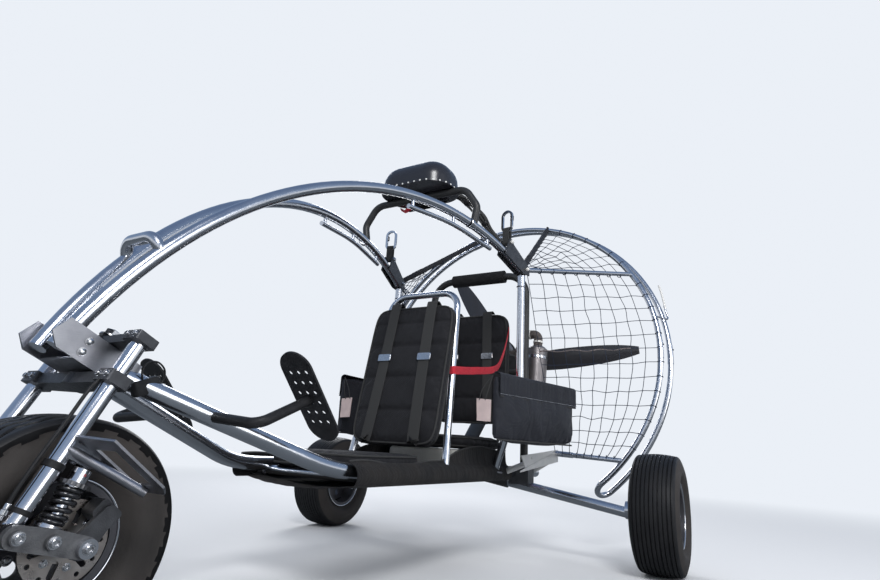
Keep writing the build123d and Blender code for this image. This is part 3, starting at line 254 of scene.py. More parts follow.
POLISHED = Finish("polished_tube", "polished_steel", (0.66, 0.67, 0.7), 0.2, 1.0, (0.54, 0.55, 0.58),
                  9.0, 0.2, 0.09, Relief.GRAIN, 90.0, 0.0002)
POLISHED_LEG = Finish("polished_fork_leg", "polished_steel", (0.72, 0.72, 0.74), 0.15, 1.0,
                      (0.58, 0.58, 0.61), 14.0, 0.3, 0.07, Relief.GRAIN, 160.0, 0.0001)
BRUSHED = Finish("brushed_plate", "brushed_sheet", (0.4, 0.4, 0.42), 0.36, 1.0, (0.26, 0.26, 0.28),
                 26.0, 0.4, 0.12, Relief.BRUSHED, 700.0, 0.0002)
RACK_SHEET = Finish("pale_rack_sheet", "brushed_sheet", (0.68, 0.67, 0.64), 0.42, 0.55,
                    (0.55, 0.55, 0.55), 14.0, 0.4, 0.1, Relief.BRUSHED, 500.0, 0.0002)
DARK_CAST = Finish("dark_cast_clamp", "dark_cast", (0.07, 0.073, 0.08), 0.42, 0.5, (0.035, 0.036, 0.04),
                   40.0, 0.4, 0.12, Relief.GRAIN, 520.0, 0.0005)
FORGED = Finish("forged_link", "grey_forged", (0.16, 0.163, 0.168), 0.5, 0.75, (0.085, 0.085, 0.09),
                60.0, 0.5, 0.12, Relief.GRAIN, 420.0, 0.0006)
BLACK_TUBE = Finish("black_tube", "black_tube", (0.01, 0.01, 0.011), 0.36, 0.0, (0.02, 0.02, 0.022),
                    30.0, 0.3, 0.1, Relief.GRAIN, 300.0, 0.0003, 0.15)
WRAP = Finish("wrapped_tape", "black_tube", (0.014, 0.014, 0.016), 0.62, 0.0, (0.026, 0.026, 0.029),
              60.0, 0.4, 0.12, Relief.TWILL, 120.0, 0.0008, 0.0, 0.02)
BOLT_STEEL = Finish("bolt_steel", "polished_steel", (0.66, 0.66, 0.67), 0.24, 1.0, (0.45, 0.45, 0.46),
                    120.0, 0.4, 0.1, Relief.GRAIN, 900.0, 0.0001)
DARK_BOLT = Finish("dark_bolt", "dark_cast", (0.16, 0.16, 0.17), 0.34, 0.9, (0.1, 0.1, 0.1),
                   120.0, 0.4, 0.1, Relief.GRAIN, 900.0, 0.0001)
TYRE = Finish("tyre_tread", "tyre_rubber", (0.010, 0.0105, 0.012), 0.50, 0.0, (0.018, 0.018, 0.019),
              12.0, 0.4, 0.14, Relief.GRAIN, 260.0, 0.0004)
TYRE_WALL = Finish("tyre_wall_dust", "tyre_rubber", (0.048, 0.042, 0.039), 0.7, 0.0, (0.026, 0.024, 0.023),
                   7.0, 0.5, 0.12, Relief.GRAIN, 200.0, 0.0005)
# Painted shade: the tread's rubber made darker in the grooves, standing for the shade in them.
GROOVE_SHADE = Finish("tyre_groove", "tyre_rubber", (0.003, 0.003, 0.0035), 0.8)
WHEEL_PAINT = Finish("wheel_paint", "wheel_paint", (0.03, 0.032, 0.038), 0.36, 0.3, (0.05, 0.052, 0.058),
                     22.0, 0.4, 0.12, Relief.GRAIN, 380.0, 0.0002, 0.2)
DISC_STEEL = Finish("brake_disc_steel", "brake_steel", (0.52, 0.48, 0.45), 0.3, 1.0,
                    (0.3, 0.25, 0.22), 24.0, 0.5, 0.12, Relief.BRUSHED, 900.0, 0.0002)
SPRING = Finish("spring_enamel", "spring_black", (0.008, 0.008, 0.009), 0.22, 0.0, (0.016, 0.016, 0.018),
                80.0, 0.4, 0.08, Relief.GRAIN, 400.0, 0.0001, 0.5)
CAP_WHITE = Finish("shock_cap", "polished_steel", (0.78, 0.77, 0.74), 0.34, 0.1, (0.66, 0.64, 0.6),
                   70.0, 0.4, 0.1, Relief.GRAIN, 500.0, 0.0001)
RED_DOT = Finish("red_dot", "polished_steel", (0.42, 0.02, 0.02), 0.4)
# Black nylon; the blue in its two tones is a painted sheen.
CLOTH = Finish("woven_nylon", "black_cloth", (0.013, 0.014, 0.019), 0.6, 0.0, (0.022, 0.024, 0.031),
               9.0, 0.35, 0.14, Relief.WEAVE, 150.0, 0.0006, 0.0, 0.05)
SEAT_CLOTH = Finish("seat_pack_cloth", "black_cloth", (0.012, 0.012, 0.014), 0.78, 0.0, (0.021, 0.021, 0.024),
                    12.0, 0.35, 0.1, Relief.WEAVE, 110.0, 0.0009, 0.0, 0.04)
BELLY_CLOTH = Finish("belly_net_cloth", "black_cloth", (0.011, 0.011, 0.012), 0.82, 0.0,
                     (0.021, 0.019, 0.018), 8.0, 0.72, 0.1, Relief.WEAVE, 60.0, 0.0012, 0.0, 0.03)
WEBBING = Finish("black_webbing", "black_webbing", (0.012, 0.012, 0.014), 0.7, 0.0, (0.022, 0.022, 0.025),
                 60.0, 0.4, 0.1, Relief.TWILL, 160.0, 0.0007, 0.0, 0.04)
RED_WEBBING = Finish("red_webbing", "black_webbing", (0.58, 0.026, 0.045), 0.62, 0.0,
                     (0.44, 0.018, 0.035), 60.0, 0.4, 0.1, Relief.TWILL, 160.0, 0.0007, 0.0, 0.08)
FOAM = Finish("foam_sleeve", "foam_black", (0.01, 0.01, 0.011), 0.85, 0.0, (0.018, 0.018, 0.019),
              50.0, 0.4, 0.08, Relief.GRAIN, 700.0, 0.0007)
SHELL = Finish("container_shell", "container_shell", (0.006, 0.006, 0.008), 0.16, 0.0,
               (0.012, 0.012, 0.014), 10.0, 0.3, 0.06, Relief.GRAIN, 60.0, 0.0002, 0.7)
RIVET = Finish("pale_rivet", "container_shell", (0.78, 0.78, 0.76), 0.4)
PEDAL = Finish("pedal_plastic", "pedal_black", (0.011, 0.011, 0.012), 0.5, 0.0, (0.022, 0.022, 0.024),
               60.0, 0.4, 0.1, Relief.GRAIN, 420.0, 0.0005)
TANK = Finish("tank_plastic", "tank_plastic", (0.46, 0.45, 0.41), 0.4, 0.0, (0.36, 0.33, 0.27),
              5.0, 0.3, 0.1, Relief.GRAIN, 240.0, 0.0003)
ENGINE_ALLOY = Finish("engine_alloy", "engine_alloy", (0.30, 0.30, 0.305), 0.46, 0.85,
                      (0.2, 0.2, 0.2), 30.0, 0.45, 0.12, Relief.GRAIN, 340.0, 0.0007)
ENGINE_BLACK = Finish("engine_black", "engine_black", (0.016, 0.016, 0.018), 0.5, 0.2,
                      (0.034, 0.034, 0.036), 40.0, 0.4, 0.1, Relief.GRAIN, 420.0, 0.0005)
BELT = Finish("belt_rubber", "belt_rubber", (0.012, 0.012, 0.013), 0.6, 0.0, (0.022, 0.022, 0.023),
              40.0, 0.4, 0.1, Relief.RIBS, 60.0, 0.001)
HUB_ALLOY = Finish("hub_alloy", "hub_alloy", (0.56, 0.56, 0.58), 0.28, 1.0, (0.45, 0.45, 0.47),
                   60.0, 0.4, 0.1, Relief.BRUSHED, 800.0, 0.0001)
CARBON = Finish("blade_carbon", "blade_carbon", (0.010, 0.014, 0.026), 0.26, 0.0, (0.02, 0.026, 0.042),
                34.0, 0.6, 0.06, Relief.TWILL, 90.0, 0.0002, 0.6)
EXHAUST = Finish("silencer_sheet", "exhaust_steel", (0.25, 0.235, 0.235), 0.42, 0.8,
                 (0.17, 0.15, 0.15), 16.0, 0.45, 0.12, Relief.BRUSHED, 420.0, 0.0003)
HEAT_WRAP = Finish("heat_wrap", "exhaust_steel", (0.15, 0.13, 0.125), 0.86, 0.0, (0.07, 0.062, 0.06),
                   90.0, 0.6, 0.08, Relief.WEAVE, 60.0, 0.0016)
NET = Finish("net_cord", "black_webbing", (0.014, 0.02, 0.038), 0.66, 0.0, (0.026, 0.036, 0.06),
             60.0, 0.4, 0.1, Relief.TWILL, 500.0, 0.0002)
LACING = Finish("grey_lacing", "black_webbing", (0.19, 0.165, 0.16), 0.7, 0.0, (0.12, 0.1, 0.1),
                160.0, 0.4, 0.1, Relief.TWILL, 420.0, 0.0004)
PALE_PANEL = Finish("pale_panel", "brushed_sheet", (0.62, 0.5, 0.48), 0.6, 0.0, (0.5, 0.4, 0.39),
                    40.0, 0.4, 0.1, Relief.WEAVE, 200.0, 0.0003)
HOSE = Finish("hose_rubber", "belt_rubber", (0.009, 0.009, 0.01), 0.44, 0.0, (0.018, 0.018, 0.019),
              80.0, 0.4, 0.1, Relief.GRAIN, 500.0, 0.0002)


def unit(vectors: Array) -> Array:
    """Vectors over their own length, along the last axis."""
    return vectors / np.maximum(np.linalg.norm(vectors, axis=-1, keepdims=True), 1e-12)


def angles(count: int) -> Array:
    """Angles spread evenly round a full turn, the first of them zero."""
    return np.linspace(0, 2 * np.pi, count, endpoint=False)


def spread(x: float | Array, y: float | Array, z: float | Array) -> Array:
    """Points from their three coordinates, each an array or one value for all."""
    return np.stack(np.broadcast_arrays(x, y, z), axis=-1)


def on_side(angle: float | Array, sign: int) -> float | Array:
    """An angle of a cage ring on the left side, or its mirror image on the right."""
    return angle if sign > 0 else 180.0 - np.asarray(angle, float)


def quads(rows: int, columns: int, close_rows: bool = False, close_columns: bool = False) -> Array:
    """Faces of a grid of points that is stored row by row.

    Args:
        rows: how many rows of points the grid has.
        columns: how many points a row has.
        close_rows: joins the last row to the first.
        close_columns: joins the last column to the first.

    Returns:
        One line of four indices for each face.
    """
    row = np.arange(rows if close_rows else rows - 1)
    column = np.arange(columns if close_columns else columns - 1)
    row, column = np.meshgrid(row, column, indexing="ij")
    after = (row + 1) % rows
    beside = (column + 1) % columns
    corners = (row * columns + column, row * columns + beside, after * columns + beside,
               after * columns + column)
    return np.stack(corners, axis=-1).reshape(-1, 4)


def joined(shapes: list[Shape]) -> Shape:
    """Several shapes as one, the indices of each moved past those before it."""
    starts = np.cumsum([0] + [len(points) for points, _ in shapes[:-1]])
    return (
        np.concatenate([points for points, _ in shapes]),
        np.concatenate([faces + start for (_, faces), start in zip(shapes, starts)]),
    )


def smooth(points: Array, count: int) -> Array:
    """A smooth line through points.

    Between two points the line is the cubic whose slope at each end is half the step
    from the point before to the point after it.

    Args:
        points: the points to pass, at least two.
        count: how many points to return.

    Returns:
        The points of the line, evenly spread over the given ones.
    """
    points = np.asarray(points, float)
    wide = np.concatenate([2 * points[:1] - points[1:2], points, 2 * points[-1:] - points[-2:-1]])
    place = np.linspace(0, len(points) - 1, count)
    index = np.minimum(place.astype(int), len(points) - 2)
    t = (place - index)[:, None]
    a, b, c, d = (wide[index + step] for step in range(4))
    return 0.5 * (2 * b + (c - a) * t + (2 * a - 5 * b + 4 * c - d) * t**2 + (3 * b - a - 3 * c + d) * t**3)


def frames(path: Array, closed: bool = False) -> tuple[Array, Array]:
    """Two directions square to a path at each of its points.

    The first is the path's direction crossed with the fixed direction that it stays
    furthest from, and the second completes the three.

    Args:
        path: points along the path.
        closed: says that the last point joins the first.

    Returns:
        The two directions, as arrays as long as the path.
    """
    if closed:
        along = unit(np.roll(path, -1, axis=0) - np.roll(path, 1, axis=0))
    else:
        along = unit(np.gradient(path, axis=0))
    trials = unit(np.array([[1, 0, 0], [0, 1, 0], [0, 0, 1], [1, 1, 0], [0, 1, 1], [1, 0, 1], [1, 1, 1],
                            [1, -1, 0], [0, 1, -1], [1, 0, -1]], float))
    fixed = trials[np.abs(along @ trials.T).max(axis=0).argmin()]
    first = unit(np.cross(along, fixed))
    return first, np.cross(along, first)


def tube(path: Array, radius: float | Array, sides: int = 12, closed: bool = False,
         flat: float = 1.0) -> Shape:
    """A round or flattened tube along a path, closed at its ends.

    A point is the path's, plus radius times the cosine of the angle along the first
    direction, plus radius times flat times the sine along the second.

    Args:
        path: points along the middle of the tube.
        radius: one radius, or one for each point.
        sides: how many points go round.
        closed: joins the last ring to the first.
        flat: the share of the radius that the second direction keeps.

    Returns:
        The tube's points and faces.
    """
    path = np.asarray(path, float)
    first, second = frames(path, closed)
    turn = angles(sides)
    size = np.broadcast_to(np.asarray(radius, float), (len(path),))[:, None, None]
    ring = first[:, None] * np.cos(turn)[:, None] + second[:, None] * np.sin(turn)[:, None] * flat
    points = (path[:, None] + size * ring).reshape(-1, 3)
    faces = quads(len(path), sides, closed, True)
    if closed:
        return points, faces
    ends = np.stack([path[0], path[-1]])
    spokes = np.arange(sides)
    beside = (spokes + 1) % sides
    tail = (len(path) - 1) * sides
    start = np.stack([np.full(sides, len(points)), beside, spokes, spokes], axis=1)
    stop = np.stack([np.full(sides, len(points) + 1), spokes + tail, beside + tail, beside + tail], axis=1)
    return np.concatenate([points, ends]), np.concatenate([faces, start, stop])


def band(path: Array, across: Array, width: float, thick: float) -> Shape:
    """A flat strap along a path.

    Its section is a rectangle with softened edges: width along the given direction and
    thick along the direction square to it and to the path.

    Args:
        path: points along the middle of the strap.
        across: the strap's width direction.
        width: the width of the strap.
        thick: its thickness.

    Returns:
        The strap's points and faces, closed at its ends.
    """
    path = np.asarray(path, float)
    along = unit(np.gradient(path, axis=0))
    side = np.broadcast_to(np.asarray(across, float), path.shape)
    side = unit(side - (side * along).sum(axis=1, keepdims=True) * along)
    out = np.cross(along, side)
    half, edge = width / 2, thick / 2
    section = np.array([[-half, 0], [-half + edge, -edge], [half - edge, -edge], [half, 0],
                        [half - edge, edge], [-half + edge, edge]])
    points = path[:, None] + section[:, :1] * side[:, None] + section[:, 1:] * out[:, None]
    count = len(path)
    faces = quads(count, 6, False, True)
    last = (count - 1) * 6
    ends = np.array([[0, 5, 4, 1], [1, 4, 3, 2], [last, last + 1, last + 4, last + 5],
                     [last + 1, last + 2, last + 3, last + 4]])
    return points.reshape(-1, 3), np.concatenate([faces, ends])


def turned(profile: Array, sides: int, closed: bool = False) -> Shape:
    """A profile turned round the z axis.

    A point is (radius times cosine, radius times sine, height).

    Args:
        profile: lines of radius and height.
        sides: how many points go round.
        closed: joins the profile's last point to its first, as for a ring.

    Returns:
        The turned shape. Points at radius zero fall together and are merged later.
    """
    profile = np.asarray(profile, float)
    turn = angles(sides)
    points = np.stack([
        profile[:, :1] * np.cos(turn), profile[:, :1] * np.sin(turn),
        np.broadcast_to(profile[:, 1:], (len(profile), sides)),
    ], axis=-1)
    return points.reshape(-1, 3), quads(len(profile), sides, closed, True)


def aimed(origins: Array, directions: Array, size: float = 1.0) -> Array:
    """Places whose z axis points along the given directions.

    Args:
        origins: one point for each place.
        directions: one direction for each, or one for all.
        size: the scale of all of them.

    Returns:
        Arrays of three rows and four columns: the three axes and the origin.
    """
    origins = np.atleast_2d(np.asarray(origins, float))
    z = unit(np.broadcast_to(np.asarray(directions, float), origins.shape))
    least = np.eye(3)[np.abs(z).argmin(axis=1)]
    x = unit(np.cross(least, z))
    return np.stack([x * size, np.cross(z, x) * size, z * size, origins], axis=-1)


def repeated(shape: Shape, places: Array) -> Shape:
    """A shape set at each of many places, as one shape."""
    points, faces = shape
    moved = np.einsum("kij,nj->kni", places[:, :, :3], points) + places[:, None, :, 3]
    starts = np.arange(len(places)) * len(points)
    return moved.reshape(-1, 3), (faces[None] + starts[:, None, None]).reshape(-1, 4)


def set_at(shape: Shape, spots: Array, along: Array, size: float = 1.0) -> Shape:
    """A shape set at each of the spots, its z axis along a direction."""
    return repeated(shape, aimed(spots, along, size))


def circle(spot: Array, along: Array, radius: float, turn: Array) -> Array:
    """Points of a circle square to a direction.

    A point is the spot, plus radius times the cosine of its angle along one direction
    square to the given one, plus radius times the sine along the other.
    """
    place = aimed(spot, along)[0]
    return place[:, 3] + radius * (place[:, 0] * np.cos(turn)[:, None] + place[:, 1] * np.sin(turn)[:, None])


def hex_bolt(radius: float, height: float) -> Shape:
    """A washer with a hexagonal head on it, standing on z = 0."""
    washer = turned([[0, 0], [1.35, 0], [1.35, 0.16], [0, 0.16]], 20)
    head = turned([[0, 0.16], [1.0, 0.16], [1.0, 0.9], [0.86, 1.0], [0, 1.0]], 6)
    points, faces = joined([washer, head])
    return points * [radius, radius, height], faces


def cap_bolt(radius: float, height: float) -> Shape:
    """A round bolt head with a sunk hexagon and a washer, standing on z = 0."""
    washer = turned([[0, 0], [1.3, 0], [1.3, 0.14], [0, 0.14]], 20)
    head = turned([[0, 0.14], [1.0, 0.14], [1.0, 0.9], [0.9, 1.0], [0.58, 1.0], [0.5, 0.5], [0, 0.5]], 18)
    points, faces = joined([washer, head])
    return points * [radius, radius, height], faces


def straight(start: Array, end: Array, count: int = 2) -> Array:
    """Points spread evenly from start to end."""
    share = np.linspace(0, 1, count)[:, None]
    return np.asarray(start, float) * (1 - share) + np.asarray(end, float) * share


def make(name: str, shape: Shape, finish: Finish, body: Body = Body.FRAME,
         merge: float = 1e-6) -> Piece:
    """Puts a shape into a mesh of its own and lets it ride on a body.

    Args:
        name: the piece's name.
        shape: its points and faces.
        finish: its surface.
        body: what it moves with.
        merge: points closer than this become one.

    Returns:
        The piece, its faces turned outwards and shaded smooth between sharp edges.
    """
    points, faces = shape
    mesh = bpy.data.meshes.new(name)
    three = faces[:, 2] == faces[:, 3]
    mesh.from_pydata(points.tolist(), [], faces[~three].tolist() + faces[three, :3].tolist())
    work = bmesh.new()
    work.from_mesh(mesh)
    bmesh.ops.remove_doubles(work, verts=work.verts, dist=merge)
    bmesh.ops.dissolve_degenerate(work, edges=work.edges, dist=1e-7)
    bmesh.ops.recalc_face_normals(work, faces=work.faces)
    work.to_mesh(mesh)
    work.free()
    mesh.shade_smooth()
    mesh.set_sharp_from_angle(angle=math.radians(SHARP_ANGLE))
    piece = bpy.data.objects.new(name, mesh)
    bpy.context.scene.collection.objects.link(piece)
    mesh.materials.append(finish.build())
    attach(piece, body.value)
    LOG.info("%s: %d faces on %s", name, len(mesh.polygons), body.value)
    return piece


def dress(finish: Finish, *nodes: str) -> None:
    """Gives CAD nodes a finish."""
    for name in nodes:
        node = bpy.data.objects[name]
        node.data.materials.clear()
        node.data.materials.append(finish.build())


def even(path: Array, count: int, closed: bool = False) -> Array:
    """The same line with its points spread evenly along its length."""
    line = np.concatenate([path, path[:1]]) if closed else np.asarray(path, float)
    length = np.concatenate([[0.0], np.cumsum(np.linalg.norm(np.diff(line, axis=0), axis=1))])
    spots = np.linspace(0.0, length[-1], count + 1)[:-1] if closed else np.linspace(0.0, length[-1], count)
    return np.stack([np.interp(spots, length, line[:, axis]) for axis in range(3)], axis=1)


def slab(grid: Array, thick: float) -> Shape:
    """A thin closed sheet round a grid of points.

    Its two faces lie half the thickness to either side along the grid's normals, which
    are the cross product of the steps along the rows and along the columns.

    Args:
        grid: points in rows and columns.
        thick: the thickness.

    Returns:
        The sheet's points and faces.
    """
    rows, columns = grid.shape[:2]
    normal = unit(np.cross(np.gradient(grid, axis=0), np.gradient(grid, axis=1)))
    points = np.concatenate([(grid + normal * thick / 2).reshape(-1, 3),
                             (grid - normal * thick / 2).reshape(-1, 3)])
    count = rows * columns
    index = np.arange(count).reshape(rows, columns)
    loop = np.concatenate([index[0, :-1], index[:-1, -1], index[-1, :0:-1], index[:0:-1, 0]])
    after = np.roll(loop, -1)
    face = quads(rows, columns)
    edge = np.stack([loop, after, after + count, loop + count], axis=1)
    return points, np.concatenate([face, face[:, ::-1] + count, edge])


def block(centre: Array, axes: Array, half: Point, soft: float) -> Shape:
    """A box with rounded upright edges and chamfered ends.

    Args:
        centre: its middle.
        axes: three rows, its directions.
        half: half its size along each.
        soft: the radius of its edges.

    Returns:
        The box's points and faces.
    """
    ring = rounded(half[0], half[1], soft, 40)
    rows = ((0.0, -1.0, 0.0), (1.0, -1.0, -soft * 0.6), (1.0, -1.0, 0.0), (1.0, 1.0, 0.0),
            (1.0, 1.0, -soft * 0.6), (0.0, 1.0, 0.0))
    points = []
    for share, end, spare in rows:
        size = share * (1.0 + spare / max(half[0], half[1]))
        height = end * (half[2] - (soft * 0.6 if share and not spare else 0.0))
        points.append(np.column_stack([ring * size, np.full(40, height)]))
    return np.concatenate(points) @ axes + centre, quads(6, 40, False, True)


def rounded(half_x: float, half_y: float, corner: float, count: int) -> Array:
    """The outline of a rectangle with round corners, its points spread evenly, in the plane."""
    turn = np.linspace(0, np.pi / 2, 12)
    arc = corner * np.stack([np.cos(turn), np.sin(turn)], axis=1)
    parts = []
    for quarter, (x, y) in enumerate(((1, 1), (-1, 1), (-1, -1), (1, -1))):
        c, s = round(math.cos(quarter * math.pi / 2)), round(math.sin(quarter * math.pi / 2))
        parts.append(arc @ np.array([[c, s], [-s, c]]) + [x * (half_x - corner), y * (half_y - corner)])
    line = np.column_stack([np.concatenate(parts), np.zeros(48)])
    return even(line, count, True)[:, :2]


def ring_at(spot: Array, along: Array, radius: float, thick: float, wide: float) -> Shape:
    """A flat band round a tube, its section a rectangle with softened edges."""
    profile = [[radius, -wide / 2], [radius + thick, -wide * 0.4], [radius + thick, wide * 0.4],
               [radius, wide / 2]]
    return set_at(turned(profile, 28, True), spot, along)


def weld(spot: Array, along: Array, radius: float, bead: float = 0.0026) -> Shape:
    """A weld bead round a tube, thicker and thinner by turns as the torch moved on."""
    turn = angles(64)
    ripple = bead * (1.0 + 0.16 * np.cos(20 * turn))
    return tube(circle(spot, along, radius, turn), ripple, 8, True)


def tilted(degrees: float) -> Array:
    """Three axes as rows: x and z turned in their plane by an angle, with y as it was."""
    c, s = math.cos(math.radians(degrees)), math.sin(math.radians(degrees))
    return np.array([[c, 0.0, s], [0.0, 1.0, 0.0], [-s, 0.0, c]])


def settle(piece: Piece) -> None:
    """Puts a mesh with its modifiers worked out in place of the piece's own."""
    graph = bpy.context.evaluated_depsgraph_get()
    baked = bpy.data.meshes.new_from_object(piece.evaluated_get(graph))
    piece.modifiers.clear()
    piece.data = baked


def vertices(mesh: bpy.types.Mesh) -> Array:
    """The points of a mesh."""
    points = np.empty(len(mesh.vertices) * 3)
    mesh.vertices.foreach_get("co", points)
    return points.reshape(-1, 3)


@dataclass(frozen=True)
class Layout:
    """Where the frame's main lines run, in metres, with x forward and z up."""

    rear_axle_x: float = -0.6844
    wheelbase: float = 1.682
    track: float = 1.520
    rear_axle_z: float = 0.205
    front_axle_z: float = 0.204
    head_forward: float = 1.654
    head_z: float = 0.505
    head_rake: float = 24.2
    leg_lead: float = 0.00635
    leg_spread: float = 0.126
    cage_back: float = 0.303
    cage_z: float = 0.832
    cage_lean: float = 8.9
    cage_front_radius: float = 0.748
    cage_rear_radius: float = 0.777
    cage_ring_gap: float = 0.083
    rail_y: float = 0.1995
    rail_z: float = 0.3055
    rail_radius: float = 0.019
    hoop_nose: Point = (1.738, 0.0315, 0.521)
    hoop_radius: float = 0.016
    hoop_tail: Point = (0.240, 0.302, 1.105)
    hoop_crown: Pair = (0.672, 1.188)

    def at(self, forward: float, y: float, z: float) -> Array:
        """A point given by its distance ahead of the rear axle."""
        return np.array([self.rear_axle_x + forward, y, z])

    def head(self, v: float | Array, y: float | Array, u: float | Array) -> Array:
        """A point in the raked frame: v ahead of the head tube and u up along it."""
        rake = math.radians(self.head_rake)
        x = self.rear_axle_x + self.head_forward + v * math.cos(rake) - u * math.sin(rake)
        z = self.head_z + v * math.sin(rake) + u * math.cos(rake)
        return spread(x, y, z)

    def cage(self, y: float | Array, up: float | Array, ahead: float | Array) -> Array:
        """A point in the cage's leaning frame."""
        lean = math.radians(self.cage_lean)
        x = self.rear_axle_x - self.cage_back - up * math.sin(lean) + ahead * math.cos(lean)
        z = self.cage_z + up * math.cos(lean) + ahead * math.sin(lean)
        return spread(x, y, z)

    def ring(self, angle: float | Array, radius: float, back: float = 0.0) -> Array:
        """A point of a cage ring, its angle in degrees from the left towards the top."""
        turn = np.radians(angle)
        return self.cage(radius * np.cos(turn), radius * np.sin(turn), -back)

    def cage_axis(self) -> Array:
        """The propeller's axis, pointing forward."""
        lean = math.radians(self.cage_lean)
        return np.array([math.cos(lean), 0.0, math.sin(lean)])

    def cage_up(self) -> Array:
        """The direction square to the propeller's axis, pointing up."""
        return self.cage(0.0, 1.0, 0.0) - self.cage(0.0, 0.0, 0.0)

    def head_axis(self) -> Array:
        """The steering axis, pointing up."""
        rake = math.radians(self.head_rake)
        return np.array([-math.sin(rake), 0.0, math.cos(rake)])

    def hoop(self, forward: float | Array, sign: int, drop: float = 0.0) -> Array:
        """A point on a hoop's middle line, which is two arcs that meet level at the crown."""
        nose, tail, crown = self.hoop_nose, self.hoop_tail, self.hoop_crown
        heading = math.atan2(tail[1] - nose[1], nose[0] - tail[0])
        forward = np.asarray(forward, float)
        reach = (nose[0] - forward) / math.cos(heading)
        top = (nose[0] - crown[0]) / math.cos(heading)
        length = (nose[0] - tail[0]) / math.cos(heading)
        front = (top**2 + (crown[1] - nose[2]) ** 2) / (2 * (crown[1] - nose[2]))
        back = ((length - top) ** 2 + (crown[1] - tail[2]) ** 2) / (2 * (crown[1] - tail[2]))
        radius = np.where(reach < top, front, back)
        z = crown[1] - radius + np.sqrt(radius**2 - (reach - top) ** 2) - drop
        return spread(self.rear_axle_x + forward, sign * (nose[1] + reach * math.sin(heading)), z)


LAYOUT = Layout()
SIDES = (("left", 1), ("right", -1))


@dataclass(frozen=True)
class Lamp:
    """A round soft light: its place, what it points at, its size and its power."""

    name: str
    place: Point
    aim: Point
    size: float
    power: float


